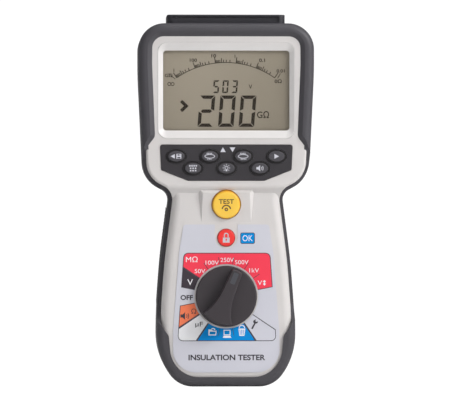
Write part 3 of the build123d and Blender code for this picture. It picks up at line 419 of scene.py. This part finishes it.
READING_Z = display_z - 22.2
VOLTS_Z = display_z - 1.5
reading = [
    [outline]
    for n, figure in enumerate("200")
    for outline in figure_segments(figure, -17.6 + 12.6 * n, READING_Z, 9.5, 19.2, 2.05)
]
volts = [
    [outline]
    for n, figure in enumerate("503")
    for outline in figure_segments(figure, -8.2 + 5.65 * n, VOLTS_Z, 3.6, 7.8, 0.95)
]
CHEVRON_LEFT, CHEVRON_TIP = -27.6, -24.4
CHEVRON_Z = display_z - 9.45
CHEVRON_HALF = 3.05
chevron_line = [
    (CHEVRON_LEFT, CHEVRON_Z + CHEVRON_HALF),
    (CHEVRON_TIP, CHEVRON_Z),
    (CHEVRON_LEFT, CHEVRON_Z - CHEVRON_HALF),
]
chevron = [[stroke(chevron_line, 1.95)]]
UNIT_BOLD = 0.012
units = [
    ("GΩ", 22.6, display_z - 14.7, 4.3, 7.4, UNIT_BOLD),
    ("V", 14.9, display_z + 2.4, 2.6, 2.1, UNIT_BOLD),
]
stamped("display_figures", reading + volts + chevron + units, glass_front, segment_dark, "case")

SCALE_X = -0.24
SCALE_Z = display_z - 35.6  # centre of the arc
SCALE_R = 52.8
SCALE_HALF = 34.6  # degrees each side of the middle
SCALE_LINE = 0.42
END_LINE = 0.4
WORD_BOLD = 0.022
DIGIT_BOLD = 0.014
scale_words = [
    ("100", -20.1, display_z + 18.6, 2.1, 4.4, WORD_BOLD),
    ("10", -7.6, display_z + 21.3, 2.1, 2.9, WORD_BOLD),
    ("1", 5.4, display_z + 21.0, 2.2, None, DIGIT_BOLD),
    ("0.1", 22.0, display_z + 18.6, 2.1, 3.6, WORD_BOLD),
    ("0.01", 33.4, display_z + 12.1, 2.1, 5.0, WORD_BOLD),
    ("1", -32.0, display_z + 12.4, 2.2, None, DIGIT_BOLD),
    ("GΩ", -35.2, display_z + 9.3, 2.2, 4.6, WORD_BOLD),
    ("0Ω", 31.9, display_z + 5.8, 2.3, 4.4, WORD_BOLD),
]
scale_ends = [
    [stroke([(-35.2, display_z + 10.4), (-31.2, display_z + 7.0)], END_LINE)],
    [stroke([(33.2, display_z + 10.5), (31.6, display_z + 7.6)], END_LINE)],
]
# The sign for endless, as two rings that touch
RING_R = 0.95
endless = [
    [band(x, display_z + 4.0, RING_R, SCALE_LINE, 0, 360, 24)]
    for x in (-34.8, -32.8)
]
scale_line = [[band(SCALE_X, SCALE_Z, SCALE_R, SCALE_LINE, -SCALE_HALF, SCALE_HALF, 60)]]
scale_prints = scale_words + scale_ends + endless + scale_line
stamped("display_scale", scale_prints, glass_front, segment_dark, "case")


def node_tree(name, sockets):
    """A geometry tree with named number inputs and their defaults."""
    tree = bpy.data.node_groups.new(name, "GeometryNodeTree")
    tree.interface.new_socket("Start", in_out="INPUT", socket_type="NodeSocketGeometry")
    for socket, value in sockets.items():
        kind = "NodeSocketInt" if isinstance(value, int) else "NodeSocketFloat"
        tree.interface.new_socket(socket, in_out="INPUT", socket_type=kind).default_value = value
    tree.interface.new_socket("Result", in_out="OUTPUT", socket_type="NodeSocketGeometry")
    source = tree.nodes.new("NodeGroupInput")
    return tree, {socket: Wire(tree, source.outputs[socket]) for socket in ("Start", *sockets)}


def close_tree(tree, instances, finish):
    """Ends a tree: real meshes with their finish."""
    solid = instances.node("GeometryNodeRealizeInstances", {}, {"Geometry": instances})
    coloured = solid.node("GeometryNodeSetMaterial", {}, {"Geometry": solid, "Material": finish})
    result = tree.nodes.new("NodeGroupOutput")
    tree.links.new(coloured.socket, result.inputs["Result"])


def grown(name, tree, sizes, body, start=None):
    """Plain piece made by a geometry tree with the given sizes."""
    piece = link(bpy.data.objects.new(name, start or bpy.data.meshes.new(name)))
    grower = piece.modifiers.new("grower", "NODES")
    grower.node_group = tree
    for item in tree.interface.items_tree:
        if item.name in sizes:
            grower[item.identifier] = sizes[item.name]
    graph = bpy.context.evaluated_depsgraph_get()
    mesh = bpy.data.meshes.new_from_object(piece.evaluated_get(graph), depsgraph=graph)
    piece.modifiers.clear()
    piece.data = mesh
    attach(piece, body)
    return piece


def radial_marks(tree, source, turn, length, finish):
    """Ends a tree of marks that stand outwards round a centre, one for each point."""
    radius = source["Radius"] + length * 0.5
    x = source["Centre X"] + radius * turn.maths("SINE", turn)
    z = source["Centre Z"] + radius * turn.maths("COSINE", turn)
    spot = x.node("ShaderNodeCombineXYZ", {}, {0: x, 1: source["Depth"], 2: z})
    points = x.node("GeometryNodePoints", {}, {"Count": source["Count"], "Position": spot})
    angles = x.node("ShaderNodeCombineXYZ", {}, {1: turn})
    size = x.node("ShaderNodeCombineXYZ", {}, {0: source["Width"], 1: source["Thickness"], 2: length})
    mark = x.node("GeometryNodeMeshCube")
    placed = x.node(
        "GeometryNodeInstanceOnPoints",
        {},
        {"Points": points, "Instance": mark, "Rotation": angles, "Scale": size},
    )
    close_tree(tree, placed, finish)


# Marks of the analogue scale: nine to a decade, spaced as logarithms, with the first of each decade
# long and the middle one longer than the rest.
DECADES = 5
MARKS = 9
scale_tree, marks = node_tree(
    "scale_marks",
    {
        "Count": 1,
        "Centre X": 0.0,
        "Centre Z": 0.0,
        "Depth": 0.0,
        "Radius": 0.05,
        "Half Angle": 0.6,
        "Width": 0.0003,
        "Thickness": 0.00004,
        "Short": 0.001,
        "Middle": 0.0018,
        "Long": 0.003,
    },
)
index = Wire(scale_tree).node("GeometryNodeInputIndex")
decade = (index / MARKS).maths("FLOOR", index / MARKS)
place_in = index - decade * MARKS
value = (MARKS + 1) - place_in
fraction = 1 - value.maths("LOGARITHM", value, 10.0)
first = 1 - place_in.above(0.5)
fifth = place_in.above(4.5) * (1 - place_in.above(5.5))
turned = (decade + fraction) * marks["Half Angle"] * (2 / DECADES) - marks["Half Angle"]
mark_length = (
    marks["Short"] + first * (marks["Long"] - marks["Short"]) + fifth * (marks["Middle"] - marks["Short"])
)
radial_marks(scale_tree, marks, turned, mark_length, segment_dark)
grown(
    "display_scale_marks",
    scale_tree,
    {
        "Count": DECADES * MARKS + 1,
        "Centre X": SCALE_X * MM,
        "Centre Z": SCALE_Z * MM,
        "Depth": glass_low.y - 0.00002,
        "Radius": SCALE_R * MM,
        "Half Angle": radians(SCALE_HALF),
        "Width": 0.0005,
        "Short": 0.0017,
        "Middle": 0.0027,
        "Long": 0.0036,
    },
    "case",
)

# Keypad: a dark printed polycarbonate panel over one silicone mat. Each key is an oval pad standing
# on a black rim, its symbol printed white under a clear varnish.
dress(moulded("panel_dark", (50, 47, 51), 0.45, grain=0.0005, relief=0.3), "keypad_panel")
KEY_SHOULDER = -0.02335  # depth between the rim and the pad


def key_tones(place, colour):
    _, y, _ = place.axes()
    return (KEY_SHOULDER - y).above(0.0).pick(ink(24, 21, 23), colour)


KEYS = ("memory", "left_oval", "right_oval", "next", "timer", "backlight", "buzzer")
key_rubber = moulded("key_rubber", (70, 68, 73), 0.5, relief=0.35, paint=key_tones)
dress(key_rubber, "keypad_mat", *[f"key_{key}" for key in KEYS])
symbol_white = moulded("symbol_white", (206, 206, 214), 0.45, mottle=0.02, relief=0.05)
panel_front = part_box("keypad_panel")[0].y / MM
ARROW_Z = 145.0
arrows = [
    [[(-3.8, ARROW_Z - 1.4), (-0.4, ARROW_Z - 1.4), (-2.1, ARROW_Z + 1.5)]],
    [[(2.0, ARROW_Z + 1.5), (5.5, ARROW_Z + 1.5), (3.75, ARROW_Z - 1.4)]],
]
stamped("panel_arrows", arrows, panel_front, symbol_white, "case")


def ellipse(x, z, across, up, steps=32):
    turns = [2 * pi * n / steps for n in range(steps)]
    return [(x + across * cos(a), z + up * sin(a)) for a in turns]


def speaker(x, z, size):
    """Loudspeaker with two sound waves, facing right."""
    box_side = [(-0.5, -0.16), (-0.26, -0.16), (0, -0.42), (0, 0.42), (-0.26, 0.16), (-0.5, 0.16)]
    horn = [(x + u * size, z + v * size) for u, v in box_side]
    waves = [band(x - 0.1 * size, z, r * size, 0.08 * size, 55, 125, 8) for r in (0.32, 0.5)]
    return [[horn]] + [[wave] for wave in waves]


def oval_sign(marks_up, marks_down):
    """Long ring with small strokes above and below it."""
    ring = [ellipse(0, 0, 3.2, 1.35), ellipse(0, 0, 2.75, 0.95)]
    strokes = [[box(-1.6 + 0.9 * n, 1.75, 0.5, 0.75)] for n in range(marks_up)]
    return [ring] + strokes + [[box(-1.2 + 0.95 * n, -1.75, 0.5, 0.6)] for n in range(marks_down)]


disk = [box(1.5, 0, 3.0, 3.0), box(1.5, 0.8, 1.6, 0.8), box(1.5, -0.85, 1.9, 0.9)]
rays = [stroke([(1.6 * sin(a), 0.2 + 1.6 * cos(a)), (2.3 * sin(a), 0.2 + 2.3 * cos(a))], 0.42)
        for a in [radians(45 * n) for n in range(8) if n != 4]]
SYMBOLS = {
    "memory": [[[(-3.6, 0), (-1.0, -1.4), (-1.0, 1.4)]], disk, [box(1.9, 0.8, 0.35, 0.5)]],
    "left_oval": oval_sign(4, 3),
    "right_oval": oval_sign(4, 4),
    "next": [[[(-1.3, -1.5), (1.6, 0), (-1.3, 1.5)]]],
    "timer": [[box(-1.95 + 1.3 * n, 1.5, 0.85, 1.0)] for n in range(4)]
    + [[box(-1.5 + 1.5 * n, 0, 0.9, 0.85)] for n in range(3)]
    + [[box(-1.5 + 1.5 * n, -1.45, 0.9, 0.85)] for n in range(3)],
    "backlight": [[ellipse(0, 0.2, 1.15, 1.15), ellipse(0, 0.2, 0.75, 0.75)], [box(0, -1.4, 1.0, 0.8)]]
    + [[ray] for ray in rays],
    "buzzer": speaker(0.2, 0, 4.6),
}
for key in KEYS:
    low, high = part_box(f"key_{key}")
    x, z = (low.x + high.x) / 2 / MM, (low.z + high.z) / 2 / MM
    moved = [[[(x + u, z + v) for u, v in outline] for outline in mark] for mark in SYMBOLS[key]]
    stamped(f"symbol_{key}", moved, low.y / MM, symbol_white, f"key_{key}_cap")

# Test button: a thick amber cap of translucent polycarbonate on the sloping ramp, with its word and
# its turning symbol pad-printed in dark brown. The lock button below it is red with a white padlock.
TEST_MIDDLE = Vector((0, -0.02232, 0.11124))
RAMP_TILT = 8.33  # degrees
print_brown = moulded("print_brown", (98, 62, 44), 0.5, relief=0.05)


# Painted shade: the cap's colour turns a deeper amber in a ring round its edge.
def amber(place, colour):
    x, _, z = place.axes()
    up = (z - TEST_MIDDLE.z) / 0.0086
    across = x / 0.0086
    rim = (up * up + across * across).above(0.86, 0.14)
    return rim.pick(colour, ink(232, 164, 30))


test_amber = moulded(
    "test_amber",
    (255, 208, 76),
    0.32,
    relief=0.06,
    paint=amber,
    Subsurface_Weight=0.15,
    Subsurface_Scale=0.002,
)
dress(test_amber, "test_button")
test_marks = [
    ("TEST", 0, 2.15, 2.95, 9.3, 0.018),
    [band(0, -2.75, 2.55, 0.75, -84, 84)],
    [ellipse(0, -2.75, 1.1, 1.1), ellipse(0, -2.75, 0.45, 0.45)],
]
test_place = Matrix.Translation(TEST_MIDDLE) @ Matrix.Rotation(radians(RAMP_TILT), 4, "X")
stamped("test_print", test_marks, -0.01, print_brown, "test", place=test_place)

dress(moulded("lock_red", (246, 56, 52), 0.32, relief=0.06), "lock_button")
lock_low, lock_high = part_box("lock_button")
lock_z = (lock_low.z + lock_high.z) / 2 / MM
shackle = (
    [(-1.45, lock_z - 0.4), (-1.45, lock_z + 1.6)]
    + arc(0, lock_z + 1.6, 1.45, -90, 90)
    + [(1.45, lock_z - 0.4), (0.85, lock_z - 0.4)]
    + arc(0, lock_z + 1.6, 0.85, 90, -90)
    + [(-0.85, lock_z - 0.4)]
)
keyhole = arc(0, lock_z - 1.0, 0.5, -150, 150) + [(0.3, lock_z - 2.1), (-0.3, lock_z - 2.1)]
padlock = [[box(0, lock_z - 1.45, 4.2, 3.1), keyhole], [shackle]]
stamped("lock_print", padlock, lock_low.y / MM, symbol_white, "lock")

# Label: a screen-printed polyester overlay stuck to the handle. Its dial panel is in fields of solid
# colour parted by fine dark rules, round the hole for the selector.
dress(
    moulded("label_polyester", (208, 208, 217), 0.4, grain=0.0005, relief=0.12, mottle=0.02),
    "handle_label",
)
label_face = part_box("handle_label")[0].y / MM
knob_low, knob_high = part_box("selector_knob")
KNOB_Z = (knob_low.z + knob_high.z) / 2 / MM
PANEL_TOP = 26.7  # edges of the dial panel, from the selector's axis
PANEL_FOOT = -27.4
PANEL_TOP_HALF = 26.6
PANEL_FOOT_HALF = 30.3
PANEL_SHIFT = 0.45  # the panel is printed a little to the right of the axis
PANEL_R = 3.0
FIELD_FOOT_R = 19.75  # the fields start outside the selector's collar
RULE = 0.45  # half the width of the dark rules
FIELD_RISE = 0.03


def rounded(corners, radius):
    """Points of an outline with rounded corners."""
    points = []
    for n, corner in enumerate(corners):
        here = Vector(corner)
        to_last = (Vector(corners[n - 1]) - here).normalized()
        to_next = (Vector(corners[(n + 1) % len(corners)]) - here).normalized()
        half = to_last.angle(to_next) / 2
        middle = here + (to_last + to_next).normalized() * (radius / sin(half))
        first = here + to_last * (radius / tan(half)) - middle
        last = here + to_next * (radius / tan(half)) - middle
        for step in range(7):
            spoke = first.lerp(last, step / 6).normalized() * radius
            points.append(tuple(middle + spoke))
    return points


def panel_reach(angle, inset):
    """Distance from the selector's axis to the panel's edge at an angle."""
    top, foot = PANEL_TOP - inset, PANEL_FOOT + inset
    wide, narrow = PANEL_FOOT_HALF - inset, PANEL_TOP_HALF - inset
    corners = [(wide, foot), (narrow, top), (-narrow, top), (-wide, foot)]
    edge = rounded([(x + PANEL_SHIFT, z) for x, z in corners], PANEL_R - inset)
    ray = Vector((sin(angle), cos(angle)))
    for n, end in enumerate(edge):
        start = Vector(edge[n - 1])
        run = Vector(end) - start
        cross = ray.x * run.y - ray.y * run.x
        if abs(cross) > 1e-9:
            out = (start.x * run.y - start.y * run.x) / cross
            along = (start.x * ray.y - start.y * ray.x) / cross
            if out > 0 and 0 <= along <= 1:
                return out
    return FIELD_FOOT_R


def field(start, end, inset=0.0):
    """Outline of the panel between two angles clockwise from the top, drawn in by inset."""
    edges = []
    for radius, rim in ((FIELD_FOOT_R, False), (30.0, True)):
        lean = asin(inset / radius)
        a, b = radians(start) + lean, radians(end) - lean
        steps = max(2, round((end - start) / 1.5))
        turns = [a + (b - a) * n / steps for n in range(steps + 1)]
        reach = [panel_reach(t, inset) if rim else radius for t in turns]
        edges.append([(r * sin(t), KNOB_Z + r * cos(t)) for r, t in zip(reach, turns)])
    return edges[0] + edges[1][::-1]


FIELDS = {  # name: (start, end, colour)
    "red": (-56.25, 78.75, (250, 70, 90)),
    "dark": (-78.75, -56.25, (68, 61, 68)),
    "orange": (-123.75, -101.25, (246, 130, 92)),
    "white": (-146.25, -123.75, (242, 242, 244)),
    "blue": (146.25, 213.75, (0, 140, 216)),
    "grey": (123.75, 146.25, (208, 208, 217)),
}
rule_dark = moulded("rule_dark", (62, 58, 68), 0.45, mottle=0.02, relief=0.05)
rules = [[field(-78.75, 78.75)], [field(123.75, 258.75)]]
stamped("dial_rules", rules, label_face, rule_dark, "case", thick=FIELD_RISE)
matt_ink = {"mottle": 0.015, "relief": 0.05, "grain": 0.0004, "Specular_IOR_Level": 0.15}
for name, (start, end, colour) in FIELDS.items():
    stamped(
        f"dial_{name}",
        [[field(start, end, RULE)]],
        label_face - FIELD_RISE,
        moulded(f"field_{name}", colour, 0.6, **matt_ink),
        "case",
        thick=FIELD_RISE,
    )
field_face = label_face - 2 * FIELD_RISE

divider_tree, dividers = node_tree(
    "dial_dividers",
    {
        "Count": 1,
        "Centre X": 0.0,
        "Centre Z": 0.0,
        "Depth": 0.0,
        "Radius": 0.02,
        "First Angle": 0.0,
        "Pitch": 0.4,
        "Width": 0.0003,
        "Thickness": 0.00004,
        "Length": 0.004,
    },
)
position = Wire(divider_tree).node("GeometryNodeInputIndex")
heading = dividers["First Angle"] + dividers["Pitch"] * position
radial_marks(divider_tree, dividers, heading, dividers["Length"], rule_dark)
STEP = 22.5  # degrees between the selector's positions
for name, first_angle, count in (("volts", -1.5 * STEP, 5), ("store", 7.5 * STEP, 2)):
    grown(
        f"dial_dividers_{name}",
        divider_tree,
        {
            "Count": count,
            "Centre Z": KNOB_Z * MM,
            "Depth": field_face * MM - 0.00002,
            "Radius": 0.0199,
            "First Angle": radians(first_angle),
            "Pitch": radians(STEP),
            "Width": 0.00032,
            "Length": 0.0046,
        },
        "case",
    )


def dial(words, x, z, height, width, boldness=0.0):
    return (words, x, KNOB_Z + z, height, width, boldness)


def shifted(mark, x, z):
    return [[(x + u, KNOB_Z + z + v) for u, v in outline] for outline in mark]


up_down = [[(0, 1.75), (-1.05, 0.55), (-0.35, 0.55), (-0.35, -0.55), (-1.05, -0.55), (0, -1.75),
            (1.05, -0.55), (0.35, -0.55), (0.35, 0.55), (1.05, 0.55)]]
folder = [
    [(-2.5, -2.0), (2.2, -2.0), (2.6, 0.9), (0.2, 1.0), (-0.3, 1.7), (-2.5, 1.7)],
    [(-1.9, -1.4), (1.7, -1.4), (1.95, 0.3), (-1.6, 0.3)],
]
lid = [[(-0.9, 1.9), (-0.3, 2.5), (1.0, 2.5), (1.9, 1.5), (1.3, 1.3), (0.6, 1.9)]]
laptop = [box(0, 0.75, 4.2, 3.4), box(0, 0.75, 3.2, 2.3)]
base = [[(-2.1, -1.2), (2.1, -1.2), (2.6, -2.5), (-2.6, -2.5)]]
bin_side = [
    [(-2.1, 1.9), (2.1, 1.9), (1.5, -2.6), (-1.5, -2.6)],
    [(-1.45, 1.2), (-1.0, 1.2), (-0.75, -2.0), (-1.05, -2.0)],
    [(-0.3, 1.2), (0.3, 1.2), (0.25, -2.0), (-0.25, -2.0)],
    [(1.0, 1.2), (1.45, 1.2), (1.05, -2.0), (0.75, -2.0)],
]
bin_lid = [arc(0, 2.2, 1.9, -90, 90) + arc(0, 2.2, 1.4, 90, -90)]
spanner = [[(-1.9, -2.6), (-1.0, -3.2), (0.75, 0.3), (1.9, 0.55), (2.35, 1.7), (1.2, 1.35), (0.6, 1.9),
            (1.1, 2.9), (-0.35, 2.4), (-0.8, 1.2), (-0.1, 0.6)]]
white_marks = [
    dial("MΩ", -21.1, 22.7, 3.4, 7.2),
    dial("50V", -16.1, 15.5, 2.5, 6.5),
    dial("100V", -8.6, 20.65, 2.5, 8.1),
    dial("250V", 0.6, 22.3, 2.6, 8.1),
    dial("500V", 9.5, 20.9, 2.5, 8.3),
    dial("1kV", 17.1, 15.9, 2.6, 6.0),
    dial("V", 20.6, 8.3, 2.7, 2.7),
    shifted(up_down, 23.4, 8.3),
    dial("V", -22.1, 8.7, 3.6, 3.4),
    shifted(folder, -8.4, -21.9),
    shifted(lid, -8.4, -21.9),
    shifted(laptop, 0.5, -22.9),
    shifted(base, 0.5, -22.9),
    shifted(bin_side, 9.6, -21.6),
    shifted(bin_lid, 9.6, -21.6),
]
print_white = moulded("print_white", (246, 244, 248), 0.45, mottle=0.02, relief=0.05)
print_dark = moulded("print_dark", (56, 52, 60), 0.45, mottle=0.02, relief=0.05)
stamped("dial_print_white", white_marks, field_face, print_white, "case")
stamped(
    "dial_print_dark",
    [
        dial("Ω", -19.9, -9.05, 3.1, 3.0, 0.0),
        dial("µF", -16.6, -17.3, 3.5, 4.7, 0.01),
        *speaker(-25.2, KNOB_Z - 12.0, 5.6),
        shifted(spanner, 17.2, -17.0),
    ],
    field_face,
    print_dark,
    "case",
)
label_words = [
    dial("OFF", -24.2, -0.7, 3.1, 7.6, 0.035),
    ("INSULATION TESTER", 0.4, 17.9, 3.5, 47.0, 0.03),
]
stamped("label_print_dark", label_words, label_face, print_dark, "case")
OK_X, OK_Z, OK_W, OK_H = 13.1, 90.9, 8.9, 6.9
ok_edge = [rounded(box(OK_X, OK_Z, OK_W, OK_H), 1.1)]
ok_field = [rounded(box(OK_X, OK_Z, OK_W - 0.8, OK_H - 0.8), 0.8)]
stamped("ok_rule", [ok_edge], label_face, rule_dark, "case", thick=FIELD_RISE)
stamped(
    "ok_field",
    [ok_field],
    label_face - FIELD_RISE,
    bpy.data.materials["field_blue"],
    "case",
    thick=FIELD_RISE,
)
stamped("ok_print", [("OK", OK_X, OK_Z, 3.6, 6.2, -0.005)], field_face, print_white, "case")

# Selector: a charcoal nylon knob with a finger ridge, pressed on its steel shaft, and a grey pointer
# inlay in a recess near the ridge's nose.
dress(moulded("knob_nylon", (56, 50, 54), 0.5, grain=0.0006, relief=0.4, mottle=0.06), "selector_knob")
dress(moulded("pointer_grey", (72, 73, 79), 0.45), "knob_pointer")

# Terminal block: black glass-filled nylon at the top, with three shrouded 4 mm sockets of nickelled
# brass. Coloured rings tell the sockets apart.
dress(moulded("block_nylon", (47, 46, 52), 0.5, relief=0.4), "terminal_block")
dress(brass, "socket_positive", "socket_probe", "socket_negative")
for ring, colour in (("positive", (206, 44, 50)), ("probe", (38, 108, 190)), ("negative", (30, 30, 32))):
    dress(moulded(f"ring_{ring}", colour, 0.4, relief=0.1), f"socket_ring_{ring}")

# Boot: thick charcoal thermoplastic rubber stretched over the shells, with a dusty matt bloom. Fine
# slanting ribs along both sides of the handle are moulded with it for the grip.
boot_rubber = moulded("boot_rubber", (69, 67, 72), 0.52, grain=0.0007, relief=0.45, mottle=0.07)
dress(boot_rubber, "boot")
rib_tree, ribs = node_tree(
    "grip_ribs", {"Pitch": 0.0022, "Slope": 0.4, "Half Length": 0.012, "Half Width": 0.0005, "Rise": 0.0004}
)
path = ribs["Start"].node("GeometryNodeMeshToCurve", {}, {"Mesh": ribs["Start"]})
spots = path.node("GeometryNodeCurveToPoints", {"mode": "LENGTH"}, {"Curve": path, "Length": ribs["Pitch"]})
rib = path.node("GeometryNodeMeshUVSphere", {}, {"Segments": 10, "Rings": 12, "Radius": 1.0})
rib_size = path.node(
    "ShaderNodeCombineXYZ", {}, {0: ribs["Rise"], 1: ribs["Half Length"], 2: ribs["Half Width"]}
)
rib_turn = path.node("ShaderNodeCombineXYZ", {}, {0: ribs["Slope"]})
rib_set = path.node(
    "GeometryNodeInstanceOnPoints",
    {},
    {"Points": spots, "Instance": rib, "Rotation": rib_turn, "Scale": rib_size},
)
close_tree(rib_tree, rib_set, boot_rubber)
boot_skin = nodes["boot"].data
boot_hits = BVHTree.FromPolygons([v.co for v in boot_skin.vertices], [p.vertices for p in boot_skin.polygons])
RIB_Y = 0.010
RIB_LOW = 0.050
RIB_HIGH = 0.106
for side, name in ((-1, "left"), (1, "right")):
    heights = [RIB_LOW + (RIB_HIGH - RIB_LOW) * n / 24 for n in range(25)]
    line = [boot_hits.ray_cast(Vector((side * 0.1, RIB_Y, z)), Vector((-side, 0, 0)))[0] for z in heights]
    wall = bpy.data.meshes.new(f"grip_line_{name}")
    wall.from_pydata(line, [(n, n + 1) for n in range(len(line) - 1)], [])
    grown(f"grip_ribs_{name}", rib_tree, {"Slope": 0.35}, "case", start=wall)

# Tilt stand: the same black nylon as the terminal block, a ribbed plate on a steel pin.
dress(bpy.data.materials["block_nylon"], "stand")

# Studio: a pale round floor whose edge curves up into a wall, a large soft key from the upper right,
# a weaker fill from the left, and the camera level with the middle of the instrument.
FLOOR_R = 3.6
COVE_R = 0.8
WALL_TOP = 2.6
profile = [(0.0, 0.0), (0.3, 0.0), (1.2, 0.0), (FLOOR_R, 0.0)]
profile += [
    (FLOOR_R + COVE_R * sin(a), COVE_R * (1 - cos(a))) for a in [pi / 2 * n / 10 for n in range(1, 11)]
]
profile.append((FLOOR_R + COVE_R, WALL_TOP))
TURNS = 72
sweep = bmesh.new()
rings = []
for radius, height in profile[1:]:
    rings.append([
        sweep.verts.new((radius * cos(2 * pi * n / TURNS), radius * sin(2 * pi * n / TURNS), height))
        for n in range(TURNS)
    ])
sweep.faces.new(rings[0])
for inner, outer in zip(rings, rings[1:]):
    for n in range(TURNS):
        sweep.faces.new((inner[n - 1], outer[n - 1], outer[n], inner[n])).smooth = True
studio_mesh = bpy.data.meshes.new("studio_floor")
sweep.to_mesh(studio_mesh)
sweep.free()
studio_white = bpy.data.materials.new("studio_white")
studio_white.use_nodes = True
studio_tree = studio_white.node_tree
paper = studio_tree.nodes["Principled BSDF"]
paper.inputs["Base Color"].default_value = ink(244, 244, 244)
paper.inputs["Roughness"].default_value = 0.9
seen = Wire(studio_tree).node("ShaderNodeLightPath", output="Is Camera Ray")
glow = seen.node("ShaderNodeEmission", {}, {"Color": ink(255, 255, 255), "Strength": 1.1})
matt = Wire(studio_tree, paper.outputs[0])
washed = seen.node("ShaderNodeMixShader", {}, {0: seen * 0.94, 1: matt, 2: glow})
studio_tree.links.new(washed.socket, studio_tree.nodes["Material Output"].inputs["Surface"])
studio_mesh.materials.append(studio_white)
link(bpy.data.objects.new("studio_floor", studio_mesh))

room = bpy.data.worlds.new("room")
room.use_nodes = True
sky = room.node_tree.nodes["Background"].inputs
sky["Color"].default_value = ink(250, 250, 252)
sky["Strength"].default_value = 0.32
bpy.context.scene.world = room
bpy.context.scene.view_settings.view_transform = "Standard"

middle = (cad_box[0] + cad_box[1]) / 2
LAMPS = {  # name: (place, width, watts)
    "key": ((1.25, -0.9, 1.0), 0.7, 21.0),
    "fill": ((0.4, -1.4, 1.3), 0.8, 4.5),
    "top": ((0.1, -0.2, 1.5), 0.7, 4.0),
}
for name, (place, width, watts) in LAMPS.items():
    lamp = bpy.data.lights.new(name, "AREA")
    lamp.size, lamp.energy = width, watts
    holder = link(bpy.data.objects.new(name, lamp))
    holder.location = place
    holder.visible_camera = False
    holder.rotation_euler = (Vector(place) - middle).to_track_quat("Z", "Y").to_euler()

VIEW_WIDTH = 0.2774  # across the object's plane
VIEW_DISTANCE = 2.8
VIEW_AZIMUTH = -1.9
SENSOR = 36.0
aim = Vector((-0.0001, 0, 0.1143))
camera_data = bpy.data.cameras.new("camera")
camera_data.sensor_width = SENSOR
camera_data.lens = SENSOR * VIEW_DISTANCE / VIEW_WIDTH
camera = link(bpy.data.objects.new("camera", camera_data))
heading = radians(VIEW_AZIMUTH)
camera.location = aim + Vector((sin(heading), -cos(heading), 0)) * VIEW_DISTANCE
camera.rotation_euler = (pi / 2, 0, heading)
bpy.context.scene.camera = camera
